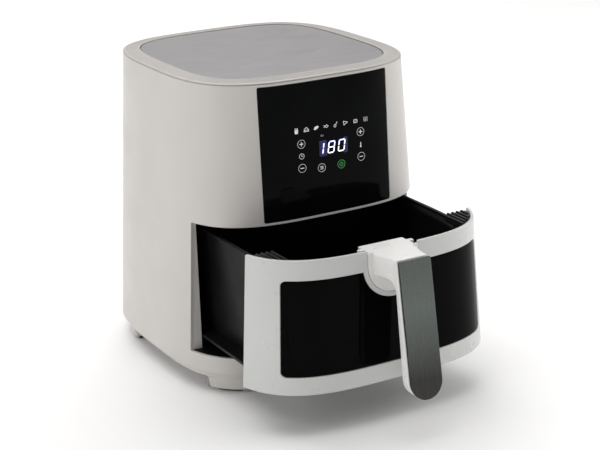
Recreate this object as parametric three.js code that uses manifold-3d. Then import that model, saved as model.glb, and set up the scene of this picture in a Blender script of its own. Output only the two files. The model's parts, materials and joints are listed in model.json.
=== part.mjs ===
// Countertop air fryer with a windowed pull-out drawer, drawn with the drawer partly open.
// Millimetres, +Z up, front towards -Y, standing on z = 0. X is centred on the body.
// The drawer is drawn shut, in the body's place, and its group then slides it forward.

import * as THREE from 'three';
import { mergeVertices } from 'three/addons/utils/BufferGeometryUtils.js';
import Module from 'manifold-3d';

const wasm = await Module();
wasm.setup();

// ---- Driving dimensions ---------------------------------------------------------------

const GAP = 0.3;                  // clearance between two pieces that meet
const BIG = 400;                  // reach of a cutting block past the whole body
const PAST = 40;                  // reach of a hollow past the ends of what it hollows
const WELD = 0.004;               // corners closer than this are one corner
const OUTLINE_STEPS = 36;         // points around a body or pan outline

// Body outline: a superellipse that narrows upwards.
const BASE_HALF_WIDTH = 145.7;    // at z = 0
const BASE_FRONT = 144.7;         // from the body's middle to its front, at z = 0
const BASE_BACK = 163;            // from the body's middle to its back, at z = 0
const SIDE_DRAFT = 0.0597;        // half-width and back lost for each mm of height
const FRONT_DRAFT = 0.0326;       // front lost for each mm of height
const BODY_POWER = 3.45;

// Heights of the body's parts.
const PAD_HEIGHT = 3;
const BASE_BOTTOM = 16;
const SHELL_BOTTOM = 23;
const OPENING_BOTTOM = 41;
const OPENING_HEIGHT = 137.5;
const PANEL_SILL = 2.8;           // strip of shell between the opening and the control panel
const PANEL_HEIGHT = 137;
const PANEL_WIDTH = 147;
const PANEL_HEAD = 3.2;           // strip of shell above the control panel
const PANEL_CORNER = 1.5;

// Shell.
const SHELL_WALL = 3;
const LEDGE = 2.4;                // flanges around the drawer opening
const DRAWER_WRAP = 59.4;         // how far the drawer opening wraps around the sides
const CAVITY_SIDE_ROOM = 11.55;   // between the cavity and the body's surface, at the opening's top
const CAVITY_BACK_ROOM = 26.85;
const CAVITY_CORNER = 58;
const LINER_WALL = 1.5;
const POST_RADIUS = 6;            // screw posts under the shell

// Top.
const RIM_WIDTH = 18;
const RIM_RISE = 1.5;
const RIM_EDGE = 1.2;             // height and inset of the rim's rounded outer edge
const RIM_LEDGE = 6;              // seat under the top plate
const PLATE_THICKNESS = 2;
const PLATE_RECESS = 1;
const PLATE_MARGIN = 1;

// Control panel.
const GLASS_THICKNESS = 2.5;
const FRAME_BORDER = 14;
const FRAME_THICKNESS = 2;
const BOARD_SIDE_MARGIN = 15.5;   // from the panel's edge to the board's
const BOARD_END_MARGIN = 16.5;
const BOARD_THICKNESS = 1.6;
const BOARD_BACKSET = 12;         // from the glass's outer face to the board
const DISPLAY_WIDTH = 44;
const DISPLAY_HEIGHT = 24;
const DISPLAY_DEPTH = 6;

// Rear cover.
const REAR_HALF_WIDTH = 80;
const REAR_FOOT = 17;             // shell left under the cover
const REAR_HEAD = 23.5;           // shell left over the cover
const REAR_WALL = 2.5;
const REAR_FLANGE = 10;           // lap of the shell behind the cover
const REAR_FLANGE_WALL = 2.2;
const SLOT_HEIGHT = 3;
const SLOT_PITCH = 7;
const SLOT_HALF_LENGTH = 50;
const INTAKE_SLOTS = 5;
const INTAKE_DROP = 40;           // from the cover's top to the lowest intake slot
const INLET_X = 52;
const INLET_RISE = 22;            // above the cover's lower edge
const INLET_RADIUS = 7;
const INLET_FLANGE = 3;

// Base.
const BASE_INSET = 5;
const BASE_FLOOR = 3;
const BASE_RIM = 5;
const LEG_INSET = 7;
const LEG_TAPER = 3;
const FRONT_LEG_LENGTH = 52;      // along the depth, from the outline's front
const REAR_LEG_LENGTH = 95;       // along the depth, from the outline's back
const LEG_WIDTH = 54;             // across, from the outline's side
const PAD_INSET = 14;
const PAD_MARGIN = 6;
const VENT_COUNT = 3;
const VENT_PITCH = 24;

// Screws.
const SCREW_RADIUS = 1.6;
const SCREW_HEAD_RADIUS = 3.2;
const SCREW_HEAD_HEIGHT = 2;

// Hot air system, about a vertical axis.
const HOUSING_MARGIN = 3;         // from the cavity's front and back to the housing
const HOUSING_HEIGHT = 34;
const SHEET = 1.4;                // sheet metal
const SHIELD_CLEARANCE = 6;
const ELEMENT_TUBE = 3;
const ELEMENT_FAN_ROOM = 6;       // from the fan to the element's inner turn
const ELEMENT_MARGIN = 16;        // from the housing's radius to the element's outer turn
const ELEMENT_TURNS = 2;
const ELEMENT_DROP = 25;          // below the housing's top
const GUARD_MARGIN = 9;           // from the housing's radius to the guard's
const GUARD_THICKNESS = 1.2;
const GUARD_SEAT = 3;             // the guard's overlap on the liner
const GUARD_BAR = 3;
const GUARD_RINGS = 2;
const GUARD_SPOKES = 3;
const FAN_RADIUS = 52;
const FAN_BLADES = 10;
const FAN_DEPTH = 12;
const BLADE_THICKNESS = 1.5;
const HUB_RADIUS = 9;
const SHAFT_RADIUS = 3;
const MOTOR_RADIUS = 32;
const MOTOR_HEIGHT = 34;
const MOTOR_STANDOFF = 16;        // from the housing's top to the motor
const COOLER_RADIUS = 46;
const COOLER_DEPTH = 9;
const COOLER_BLADES = 7;
const DUCT_HALF_WIDTH = 34;
const DUCT_HEIGHT = 22;
const POWER_BOARD_WIDTH = 110;
const POWER_BOARD_FOOT = 8;       // above the heat shield
const POWER_BOARD_HEAD = 20;      // below the shell's top
const POWER_BOARD_ROOM = 32;      // from the body's surface, at the shell's top

// Drawer.
const DRAWER_WALL = 3;
const DRAWER_GAP = 0.5;           // above and below the drawer front
const WINDOW_SHARE = 0.8145;      // window's half-width over the body's
const WINDOW_MARGIN = 20;         // drawer front over and under the window
const WINDOW_CORNER = 5;
const WINDOW_GLASS = 2.2;
const WINDOW_BACKSET = 0.8;
const GASKET_LAP = 3.5;
const GASKET_THICKNESS = 1.5;
const INNER_FRAME_WALL = 2;
const INNER_LEDGE = 3;
const INNER_FRAME_FOOT = 2.5;     // above the drawer front's lower edge
const INNER_FRAME_HEAD = 6;       // below the drawer front's upper edge
const RIB_COUNT = 3;
const RIB_START = 3.2;            // from the inner frame's end
const RIB_PITCH = 12;
const RIB_THICKNESS = 2;
const RIB_RISE = 3;               // above the inner frame's upper ledge

// Pan.
const PAN_SIDE_ROOM = 11.5;       // between the pan's rim and the cavity's side
const PAN_BACK_ROOM = 13.5;
const PAN_FRONT_ROOM = 16.9;      // between the pan's rim and the drawer's surface
const PAN_DRAFT = 0.035;
const PAN_POWER = 4.5;
const PAN_FLOOR_ROOM = 6;         // above the opening's floor
const PAN_RIM_ROOM = 0.5;         // below the inner frame's upper ledge
const PAN_WALL = 1.4;
const PAN_LIP = 3;
const PAN_LIP_HEIGHT = 2;
const PORT_SIDE_MARGIN = 32;      // pan's front wall beside the window in it
const PORT_FOOT = 29;
const PORT_HEAD = 22.5;
const PORT_CORNER = 6;
const PORT_LAP = 6;
const PORT_GLASS = 2;
const PORT_FRAME = 1.5;
const RAIL_WIDTH = 6;
const RAIL_ROOM = 5;              // above the opening's floor
const RAIL_HEIGHT = 7;
const RAIL_STOP = 14;             // short of the cavity's round corners
const RAIL_HOLD = 14.27;          // runner still on the rail where the drawer stands open
const RUNNER_HEIGHT = 3;

// Crisper plate.
const CRISPER_RISE = 11;          // above the pan's underside
const CRISPER_THICKNESS = 2;
const CRISPER_LEG = 4;
const CRISPER_LEG_SHARE = 0.62;   // legs' place across and along, over the pan's half-sizes
const CRISPER_SLOT = 5;
const CRISPER_RINGS = [           // radius and slot length over the pan's half-width, and count
  [0.215, 0.16, 6],
  [0.445, 0.18, 10],
  [0.695, 0.195, 14],
];
const BUMPER_THICKNESS = 4.5;
const BUMPER_CORNER = 22;
const BUMPER_HEIGHT = 10;

// Handle.
const BRACKET_HALF_WIDTH = 28.3;
const BRACKET_DROP = 44.6;        // below the drawer front's upper edge
const NOTCH_MARGIN = 5.2;         // band between the bracket and the window's notch
const BRIDGE_RECESS = 2.3;        // below the drawer front's upper edge
const BRIDGE_HEIGHT = 22.2;
const BRIDGE_MARGIN = 5.8;        // bracket showing on each side of the bridge
const NECK_REACH = 7;             // past the pan's front
const HOOK_MARGIN = 2.7;          // hooks' reach past the bracket on each side
const HOOK_DEPTH = 5;
const HOOK_THICKNESS = 3;
const GRIP_HALF_WIDTH = 17.5;
const HANDLE_REACH = 37.3;        // from the drawer's surface to the handle's plate, at its top
const GRIP_FOOT = 0.3;            // grip's end below the opening's floor
const GRIP_LEAN = THREE.MathUtils.degToRad(9.24);
const GRIP_TOP_THICKNESS = 7;
const GRIP_BOTTOM_THICKNESS = 12;
const GRIP_FILLET = 14;
const PLATE_FACE = 2.2;
const CORE_THICKNESS = 2.4;
const CORE_INSET = 1.2;
const HANDLE_SCREW_X = 12;

// Interlock switch behind the pan.
const SWITCH_X = 50;
const SWITCH_DROP = 12.5;         // below the pan's rim
const SWITCH_SIZE = [20, 12, 16];
const PLUNGER_RADIUS = 2.4;
const PLUNGER_REACH = 4.5;        // into the cavity
const PLUNGER_LENGTH = 12;
const PLUNGER_TRAVEL = 2;
const PLUNGER_CLEARANCE = 0.5;    // from the shut drawer's tab

// ---- Worked out from those ------------------------------------------------------------

const halfWidth = (z) => BASE_HALF_WIDTH - SIDE_DRAFT * z;
const frontDepth = (z) => BASE_FRONT - FRONT_DRAFT * z;
const backDepth = (z) => BASE_BACK - SIDE_DRAFT * z;

const OPENING_TOP = OPENING_BOTTOM + OPENING_HEIGHT;
const EAR_Y = DRAWER_WRAP - frontDepth(OPENING_TOP);
const CAVITY_HALF_WIDTH = halfWidth(OPENING_TOP) - CAVITY_SIDE_ROOM;
const CAVITY_BACK = backDepth(OPENING_TOP) - CAVITY_BACK_ROOM;
const PANEL_BOTTOM = OPENING_TOP + PANEL_SILL;
const PANEL_TOP = PANEL_BOTTOM + PANEL_HEIGHT;
const SHELL_TOP = PANEL_TOP + PANEL_HEAD;
const RIM_BOTTOM = SHELL_TOP + GAP;
const RIM_TOP = RIM_BOTTOM + RIM_EDGE + RIM_RISE;
const PLATE_TOP = RIM_TOP - PLATE_RECESS;
const PLATE_BOTTOM = PLATE_TOP - PLATE_THICKNESS;
const REAR_BOTTOM = SHELL_BOTTOM + REAR_FOOT;
const REAR_TOP = SHELL_TOP - REAR_HEAD;
const INTAKE_BOTTOM = REAR_TOP - INTAKE_DROP;
const INLET_Z = REAR_BOTTOM + INLET_RISE;
const LINER_FRONT = EAR_Y + LEDGE + GAP;
const LINER_TOP = OPENING_TOP + LINER_WALL;
const GUARD_BOTTOM = LINER_TOP + GAP;
const HOUSING_BOTTOM = GUARD_BOTTOM + GUARD_THICKNESS + GAP;
const HOUSING_TOP = HOUSING_BOTTOM + HOUSING_HEIGHT;
const FAN_Y = (LINER_FRONT + CAVITY_BACK) / 2;
const HOUSING_RADIUS = (CAVITY_BACK - LINER_FRONT) / 2 - HOUSING_MARGIN;
const GUARD_RADIUS = HOUSING_RADIUS - GUARD_MARGIN;
const ELEMENT_INNER = FAN_RADIUS + ELEMENT_FAN_ROOM;
const ELEMENT_OUTER = HOUSING_RADIUS - ELEMENT_MARGIN;
const SHIELD_RADIUS = HOUSING_RADIUS + SHIELD_CLEARANCE;
const SHIELD_TOP = HOUSING_TOP + SHIELD_CLEARANCE;
const MOTOR_BOTTOM = HOUSING_TOP + MOTOR_STANDOFF;
const MOTOR_TOP = MOTOR_BOTTOM + MOTOR_HEIGHT;
const FAN_TOP = HOUSING_TOP - SHEET - 2.5;
const FAN_BOTTOM = FAN_TOP - FAN_DEPTH;
const COOLER_BOTTOM = MOTOR_TOP + 6;
const COOLER_TOP = COOLER_BOTTOM + COOLER_DEPTH;
const EXHAUST_BOTTOM = HOUSING_BOTTOM + 5;
const EXHAUST_SLOTS = Math.floor(DUCT_HEIGHT / SLOT_PITCH) + 1;
const DRAWER_BOTTOM = OPENING_BOTTOM + DRAWER_GAP;
const DRAWER_TOP = OPENING_TOP - DRAWER_GAP;
const DRAWER_EAR = EAR_Y - GAP;
const WINDOW_BOTTOM = DRAWER_BOTTOM + WINDOW_MARGIN;
const WINDOW_TOP = DRAWER_TOP - WINDOW_MARGIN;
const GASKET_INSET = DRAWER_WALL + GAP;
const INNER_FRAME_INSET = GASKET_INSET + GASKET_THICKNESS + GAP;
const INNER_FRAME_EAR = DRAWER_EAR - DRAWER_WALL;
const INNER_FRAME_BOTTOM = DRAWER_BOTTOM + INNER_FRAME_FOOT;
const INNER_FRAME_TOP = DRAWER_TOP - INNER_FRAME_HEAD;
const PAN_HALF_WIDTH = CAVITY_HALF_WIDTH - PAN_SIDE_ROOM;
const PAN_FRONT = PAN_FRONT_ROOM - frontDepth(OPENING_TOP);
const PAN_BACK = CAVITY_BACK - PAN_BACK_ROOM;
const PAN_HALF_DEPTH = (PAN_BACK - PAN_FRONT) / 2;
const PAN_CENTRE_Y = (PAN_BACK + PAN_FRONT) / 2;
const PAN_FLOOR = OPENING_BOTTOM + PAN_FLOOR_ROOM;
const PAN_RIM = INNER_FRAME_TOP - INNER_LEDGE - PAN_RIM_ROOM;
const RAIL_BOTTOM = OPENING_BOTTOM + RAIL_ROOM;
const RAIL_TOP = RAIL_BOTTOM + RAIL_HEIGHT;
const RAIL_END = CAVITY_BACK - CAVITY_CORNER - RAIL_STOP;
const DRAWER_OUT = RAIL_END - LINER_FRONT - RAIL_HOLD;
const CRISPER_Z = PAN_FLOOR + CRISPER_RISE;
const BRACKET_BOTTOM = DRAWER_TOP - BRACKET_DROP;
const BRACKET_CENTRE = BRACKET_BOTTOM + BRACKET_HALF_WIDTH;
const BRIDGE_TOP = DRAWER_TOP - BRIDGE_RECESS;
const BRIDGE_BOTTOM = BRIDGE_TOP - BRIDGE_HEIGHT;
const BRIDGE_HALF_WIDTH = BRACKET_HALF_WIDTH - BRIDGE_MARGIN;
const GRIP_TOP_Y = -frontDepth(BRIDGE_TOP) - HANDLE_REACH;
const GRIP_BOTTOM = OPENING_BOTTOM - GRIP_FOOT;
const SWITCH_Z = PAN_RIM - SWITCH_DROP;
const PLUNGER_TIP = CAVITY_BACK - PLUNGER_REACH;
const TAB_BACK = PLUNGER_TIP - PLUNGER_CLEARANCE;
const CORNER_SHARE = Math.SQRT1_2 ** (2 / BODY_POWER);
const SIDES = [['left', -1], ['right', 1]];
const CORNERS = [['front_left', -1, -1], ['front_right', 1, -1], ['rear_left', -1, 1], ['rear_right', 1, 1]];

// ---- Solids ---------------------------------------------------------------------------

function toSolid(geometry) {
  const bare = geometry.clone();
  bare.deleteAttribute('normal');
  bare.deleteAttribute('uv');
  const merged = mergeVertices(bare, 1e-4);
  const vertProperties = new Float32Array(merged.attributes.position.array);
  const triVerts = new Uint32Array(merged.index.array);
  return new wasm.Manifold(new wasm.Mesh({ numProp: 3, vertProperties, triVerts }));
}

// Mesh of a solid, with the slivers that cuts leave between almost equal corners closed up.
function toGeometry(solid) {
  const mesh = solid.getMesh();
  const raw = new THREE.BufferGeometry();
  raw.setAttribute('position', new THREE.BufferAttribute(mesh.vertProperties, 3));
  raw.setIndex(new THREE.BufferAttribute(mesh.triVerts, 1));
  const geometry = mergeVertices(raw, WELD);
  const corners = geometry.index.array;
  const faces = [];
  for (let i = 0; i < corners.length; i += 3) {
    const [a, b, c] = corners.slice(i, i + 3);
    if (a !== b && b !== c && c !== a) faces.push(a, b, c);
  }
  geometry.setIndex(faces);
  geometry.computeVertexNormals();
  return geometry;
}

const join = (first, ...others) => others.reduce((sum, other) => sum.add(other), first);
const cut = (first, ...others) => others.reduce((rest, other) => rest.subtract(other), first);
const common = (first, ...others) => others.reduce((shared, other) => shared.intersect(other), first);

function box([x0, x1], [y0, y1], [z0, z1]) {
  const geometry = new THREE.BoxGeometry(x1 - x0, y1 - y0, z1 - z0);
  geometry.translate((x0 + x1) / 2, (y0 + y1) / 2, (z0 + z1) / 2);
  return toSolid(geometry);
}

// Upright round bar.
function rod(radius, [z0, z1], x = 0, y = 0, sides = 20) {
  const geometry = new THREE.CylinderGeometry(radius, radius, z1 - z0, sides);
  geometry.rotateX(Math.PI / 2);
  geometry.translate(x, y, (z0 + z1) / 2);
  return toSolid(geometry);
}

// Round bar lying front to back.
function rodAlongY(radius, [y0, y1], x, z, sides = 12) {
  const geometry = new THREE.CylinderGeometry(radius, radius, y1 - y0, sides);
  geometry.translate(x, (y0 + y1) / 2, z);
  return toSolid(geometry);
}

// Closed loft through rings of equal count, from the lowest ring to the highest.
function loft(rings) {
  const count = rings[0].length;
  const points = rings.flat();
  const bottom = points.length;
  points.push(centreOf(rings[0]), centreOf(rings.at(-1)));
  const faces = [];
  for (let i = 0; i < count; i++) {
    const next = (i + 1) % count;
    for (let level = 0; level < rings.length - 1; level++) {
      const low = level * count;
      const high = low + count;
      faces.push(low + i, low + next, high + next, low + i, high + next, high + i);
    }
    const last = (rings.length - 1) * count;
    faces.push(bottom, next, i, bottom + 1, last + i, last + next);
  }
  const geometry = new THREE.BufferGeometry().setFromPoints(points);
  geometry.setIndex(faces);
  return toSolid(geometry);
}

function centreOf(ring) {
  const centre = new THREE.Vector3();
  ring.forEach((point) => centre.add(point));
  return centre.divideScalar(ring.length);
}

function superellipse(halfX, front, back, z, power) {
  const signedPower = (value) => Math.sign(value) * Math.abs(value) ** (2 / power);
  const ring = [];
  for (let i = 0; i < OUTLINE_STEPS; i++) {
    const angle = (2 * Math.PI * i) / OUTLINE_STEPS;
    const across = signedPower(Math.cos(angle));
    const along = signedPower(Math.sin(angle));
    const depth = along < 0 ? front : back;
    ring.push(new THREE.Vector3(halfX * across, depth * along, z));
  }
  return ring;
}

// Flat facets around a superellipse: each one's outward normal, its distance from the middle,
// and the distance that it moves inwards for each unit that the sides and the ends move.
function facetsOf(ring, halfX, front, back, power) {
  const dual = power / (power - 1);
  return ring.map((start, i) => {
    const end = ring[(i + 1) % ring.length];
    const normal = new THREE.Vector2(end.y - start.y, start.x - end.x).normalize();
    const depth = normal.y < 0 ? front : back;
    const across = Math.abs(halfX * normal.x);
    const along = Math.abs(depth * normal.y);
    const reach = (across ** dual + along ** dual) ** (1 / dual);
    return {
      normal,
      distance: normal.x * start.x + normal.y * start.y,
      sideShare: (across / reach) ** (dual - 1) * Math.abs(normal.x),
      endShare: (along / reach) ** (dual - 1) * Math.abs(normal.y),
    };
  });
}

// Ring of corners where each facet, moved inwards by its own distance, meets the next.
function facetRing(facets, z, inwards, centreY = 0) {
  return facets.map((facet, i) => {
    const before = facets.at(i - 1);
    const here = facet.distance - inwards(facet);
    const there = before.distance - inwards(before);
    const cross = before.normal.cross(facet.normal);
    const x = (there * facet.normal.y - here * before.normal.y) / cross;
    const y = (here * before.normal.x - there * facet.normal.x) / cross;
    return new THREE.Vector3(x, centreY + y, z);
  });
}

const BODY_FACETS = facetsOf(
  superellipse(BASE_HALF_WIDTH, BASE_FRONT, BASE_BACK, 0, BODY_POWER),
  BASE_HALF_WIDTH, BASE_FRONT, BASE_BACK, BODY_POWER);

function bodyRing(z, inset) {
  const endDraft = (facet) => (facet.normal.y < 0 ? FRONT_DRAFT : SIDE_DRAFT);
  const draft = (facet) => facet.sideShare * SIDE_DRAFT + facet.endShare * endDraft(facet);
  return facetRing(BODY_FACETS, z, (facet) => inset + draft(facet) * z);
}

const PAN_FACETS = facetsOf(
  superellipse(PAN_HALF_WIDTH, PAN_HALF_DEPTH, PAN_HALF_DEPTH, PAN_RIM, PAN_POWER),
  PAN_HALF_WIDTH, PAN_HALF_DEPTH, PAN_HALF_DEPTH, PAN_POWER);

// Block inside the body's outline, a given distance in from its surface.
const bodyBlock = ([z0, z1], inset) => loft([bodyRing(z0, inset), bodyRing(z1, inset)]);

// Skin that follows the body's surface between two depths.
const bodySkin = ([z0, z1], outer, inner) =>
  cut(bodyBlock([z0, z1], outer), bodyBlock([z0 - PAST, z1 + PAST], inner));

// Block inside the pan's outline, a given distance out from its outer surface.
function panBlock([z0, z1], offset) {
  const ring = (z) => facetRing(PAN_FACETS, z, () => PAN_DRAFT * (PAN_RIM - z) - offset, PAN_CENTRE_Y);
  return loft([ring(z0), ring(z1)]);
}

// Shape drawn in x and z, extruded front to back.
function frontPrism(shape, [y0, y1], curveSegments = 8) {
  const geometry = new THREE.ExtrudeGeometry(shape, { depth: y1 - y0, bevelEnabled: false, curveSegments });
  geometry.rotateX(Math.PI / 2);
  geometry.translate(0, y1, 0);
  return toSolid(geometry);
}

// Shape drawn in y and z, extruded across.
function sidePrism(shape, halfLength, curveSegments = 8) {
  const depth = 2 * halfLength;
  const geometry = new THREE.ExtrudeGeometry(shape, { depth, bevelEnabled: false, curveSegments });
  const across = new THREE.Vector3(1, 0, 0);
  const back = new THREE.Vector3(0, 1, 0);
  const up = new THREE.Vector3(0, 0, 1);
  geometry.applyMatrix4(new THREE.Matrix4().makeBasis(back, up, across));
  geometry.translate(-halfLength, 0, 0);
  return toSolid(geometry);
}

// Shape drawn in x and y, extruded upwards.
function uprightPrism(shape, [z0, z1], curveSegments = 8) {
  const geometry = new THREE.ExtrudeGeometry(shape, { depth: z1 - z0, bevelEnabled: false, curveSegments });
  geometry.translate(0, 0, z0);
  return toSolid(geometry);
}

function roundedRectangle(x0, x1, z0, z1, radius) {
  const quarter = Math.PI / 2;
  const shape = new THREE.Shape();
  shape.absarc(x0 + radius, z0 + radius, radius, 2 * quarter, 3 * quarter);
  shape.absarc(x1 - radius, z0 + radius, radius, 3 * quarter, 4 * quarter);
  shape.absarc(x1 - radius, z1 - radius, radius, 0, quarter);
  shape.absarc(x0 + radius, z1 - radius, radius, quarter, 2 * quarter);
  return shape;
}

// Where the body's faceted outline passes a given place across it, at its front or back.
function surfaceY(x, z, side, inset = 0) {
  const ring = bodyRing(z, inset);
  const edges = ring.map((start, i) => [start, ring[(i + 1) % ring.length]]);
  const spans = ([start, end]) => Math.min(start.x, end.x) <= x && x <= Math.max(start.x, end.x);
  const onSide = ([start, end]) => side * (start.y + end.y) > 0;
  const [start, end] = edges.find((edge) => spans(edge) && onSide(edge));
  return THREE.MathUtils.mapLinear(x, start.x, end.x, start.y, end.y);
}

// Point near a corner of the body's outline, a given distance in from its surface.
function cornerPoint(z, inset, sideX, sideY) {
  const depth = (sideY < 0 ? frontDepth(z) : backDepth(z)) - inset;
  return [sideX * (halfWidth(z) - inset) * CORNER_SHARE, sideY * depth * CORNER_SHARE];
}

// ---- Materials and pieces -------------------------------------------------------------

const finish = (color, roughness, metalness = 0) => ({ color, roughness, metalness });
const CREAM = finish(0xc9c4be, 0.45);
const WHITE = finish(0xdedcd8, 0.4);
const BLACK_GLOSS = finish(0x0b0c0d, 0.08);
const BLACK_PLASTIC = finish(0x17181a, 0.5);
const SMOKED_GLASS = finish(0x14100f, 0.05);
const GREY_PLATE = finish(0xa3a0a2, 0.4, 0.3);
const STEEL = finish(0x9da09f, 0.35, 0.9);
const DARK_STEEL = finish(0x5e6260, 0.25, 0.9);
const COATED = finish(0x1a1b1c, 0.3, 0.2);
const RUBBER = finish(0x202020, 0.85);
const COPPER_RED = finish(0x8a4b33, 0.5, 0.6);
const BOARD_GREEN = finish(0x1f5a3a, 0.5);
const SILICONE = finish(0x3a3a3a, 0.8);

function piece(name, solid, { color, roughness, metalness }) {
  const material = new THREE.MeshStandardMaterial({ color, roughness, metalness });
  const mesh = new THREE.Mesh(toGeometry(solid), material);
  mesh.name = name;
  return mesh;
}

// ---- Body -----------------------------------------------------------------------------

const panelShape = (margin, corner = PANEL_CORNER + margin) => roundedRectangle(
  -PANEL_WIDTH / 2 - margin, PANEL_WIDTH / 2 + margin, PANEL_BOTTOM - margin, PANEL_TOP + margin, corner);

const rearBlock = (margin) => box(
  [-REAR_HALF_WIDTH - margin, REAR_HALF_WIDTH + margin], [0, BIG], [REAR_BOTTOM - margin, REAR_TOP + margin]);

function basePosts() {
  return CORNERS.map(([, sideX, sideY]) => {
    const inset = SHELL_WALL + (sideY < 0 ? 2 * POST_RADIUS : POST_RADIUS / 2);
    const [x, y] = cornerPoint(SHELL_BOTTOM, inset, sideX, sideY);
    return [x, y, sideX, sideY];
  });
}

function outerShell() {
  const skin = bodySkin([SHELL_BOTTOM, SHELL_TOP], 0, SHELL_WALL);
  const openingSpan = [OPENING_BOTTOM, OPENING_TOP];
  const opening = box([-BIG, BIG], [-BIG, EAR_Y], openingSpan);
  const flangeEnd = EAR_Y + LEDGE;
  const inside = (span) => bodyBlock(span, SHELL_WALL / 2);
  const front = box([-BIG, BIG], [-BIG, flangeEnd], [0, BIG]);
  const soffit = common(inside([OPENING_TOP, OPENING_TOP + LEDGE]), front);
  const sill = common(inside([OPENING_BOTTOM - LEDGE, OPENING_BOTTOM]), front);
  const jambSpan = [OPENING_BOTTOM - LEDGE, OPENING_TOP + LEDGE];
  const doorway = box([-CAVITY_HALF_WIDTH, CAVITY_HALF_WIDTH], [-BIG, BIG], openingSpan);
  const jambs = cut(common(inside(jambSpan), box([-BIG, BIG], [EAR_Y, flangeEnd], jambSpan)), doorway);
  const reach = REAR_FLANGE;
  const flangeSpan = [REAR_BOTTOM - reach, REAR_TOP + reach];
  const flangeSkin = bodySkin(flangeSpan, SHELL_WALL / 2, SHELL_WALL + REAR_FLANGE_WALL);
  const flange = common(flangeSkin, rearBlock(reach));
  const coverRoom = common(bodySkin(flangeSpan, -SHELL_WALL, REAR_WALL + GAP), rearBlock(GAP));
  let shell = join(cut(skin, opening), soffit, sill, jambs);
  shell = cut(shell, frontPrism(panelShape(GAP), [-BIG, EAR_Y - 20]));
  shell = cut(join(shell, flange), coverRoom, rearBlock(-reach));
  for (const [x, y] of basePosts()) {
    const foot = SHELL_BOTTOM + BASE_RIM + GAP;
    shell = join(shell, rod(POST_RADIUS, [foot, OPENING_BOTTOM - LEDGE / 2], x, y, 12));
    shell = cut(shell, rod(SCREW_RADIUS + GAP, [foot - 1, OPENING_BOTTOM - LEDGE - 1], x, y, 12));
  }
  for (const [x, z, y] of rearScrewPlaces()) {
    shell = cut(shell, rodAlongY(SCREW_RADIUS + GAP, [y - 20, y + 5], x, z, 8));
  }
  return piece('outer_shell', shell, CREAM);
}

function rearScrewPlaces() {
  const places = [];
  for (const x of [-REAR_HALF_WIDTH + 7, REAR_HALF_WIDTH - 7]) {
    for (const z of [REAR_BOTTOM + 4, REAR_TOP - 4]) {
      places.push([x, z, surfaceY(x, z, 1)]);
    }
  }
  return places;
}

function rearCover() {
  let cover = common(bodySkin([REAR_BOTTOM, REAR_TOP], 0, REAR_WALL), rearBlock(0));
  const rows = [[EXHAUST_BOTTOM, EXHAUST_SLOTS], [INTAKE_BOTTOM, INTAKE_SLOTS]];
  for (const [bottom, count] of rows) {
    for (let i = 0; i < count; i++) {
      const z = bottom + i * SLOT_PITCH;
      cover = cut(cover, box([-SLOT_HALF_LENGTH, SLOT_HALF_LENGTH], [0, BIG], [z, z + SLOT_HEIGHT]));
    }
  }
  for (const [x, z, y] of rearScrewPlaces()) {
    cover = cut(cover, rodAlongY(SCREW_RADIUS + GAP, [y - 10, y + 5], x, z, 8));
    cover = cut(cover, rodAlongY(SCREW_HEAD_RADIUS + GAP, [y - 1.4, y + 5], x, z));
  }
  cover = cut(cover, rodAlongY(INLET_RADIUS, [0, BIG], INLET_X, INLET_Z, 20));
  return piece('rear_cover', cover, CREAM);
}

function rearScrews() {
  return rearScrewPlaces().map(([x, z, y], i) => {
    const seat = y - 1.4 + GAP;
    const head = rodAlongY(SCREW_HEAD_RADIUS, [seat, seat + SCREW_HEAD_HEIGHT - 0.6], x, z);
    const shank = rodAlongY(SCREW_RADIUS, [seat - 9, seat + 0.5], x, z, 8);
    return piece(`rear_screw_${i + 1}`, join(head, shank), STEEL);
  });
}

function cordInlet() {
  const reach = INLET_RADIUS + INLET_FLANGE;
  const outside = surfaceY(INLET_X - reach, INLET_Z - reach, 1) + GAP;
  const flange = rodAlongY(reach, [outside, outside + 2], INLET_X, INLET_Z, 20);
  const neck = rodAlongY(INLET_RADIUS - GAP, [outside - 12, outside + 1], INLET_X, INLET_Z, 20);
  const bore = rodAlongY(INLET_RADIUS - 3, [0, BIG], INLET_X, INLET_Z, 20);
  return piece('cord_inlet', cut(join(flange, neck), bore), BLACK_PLASTIC);
}

function topRim() {
  const shoulder = RIM_BOTTOM + RIM_EDGE;
  const band = loft([
    bodyRing(RIM_BOTTOM, 0),
    bodyRing(shoulder, RIM_EDGE),
    bodyRing(RIM_TOP, RIM_WIDTH),
  ]);
  const seat = PLATE_BOTTOM - GAP;
  const underside = seat - 2;
  const inset = SHELL_WALL + GAP;
  const body = bodyBlock([underside, RIM_BOTTOM + 0.5], inset);
  const recess = bodyBlock([seat, RIM_TOP + 5], RIM_WIDTH);
  const hole = bodyBlock([underside - 5, RIM_TOP + 5], RIM_WIDTH + RIM_LEDGE);
  return piece('top_rim', cut(join(band, body), recess, hole), CREAM);
}

function topPlate() {
  return piece('top_plate', bodyBlock([PLATE_BOTTOM, PLATE_TOP], RIM_WIDTH + PLATE_MARGIN), GREY_PLATE);
}

function controlGlass() {
  const skin = bodySkin([PANEL_BOTTOM - 5, PANEL_TOP + 5], 0, GLASS_THICKNESS);
  return piece('control_glass', common(skin, frontPrism(panelShape(0), [-BIG, EAR_Y - 20])), BLACK_GLOSS);
}

function controlFrame() {
  const inset = SHELL_WALL + GAP;
  const skin = bodySkin([PANEL_BOTTOM - 5, PANEL_TOP + 5], inset, inset + FRAME_THICKNESS);
  const outer = common(skin, frontPrism(panelShape(-GAP), [-BIG, EAR_Y - 20]));
  const inner = frontPrism(panelShape(-FRAME_BORDER, PANEL_CORNER), [-BIG, 0]);
  return piece('control_frame', cut(outer, inner), BLACK_PLASTIC);
}

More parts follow.
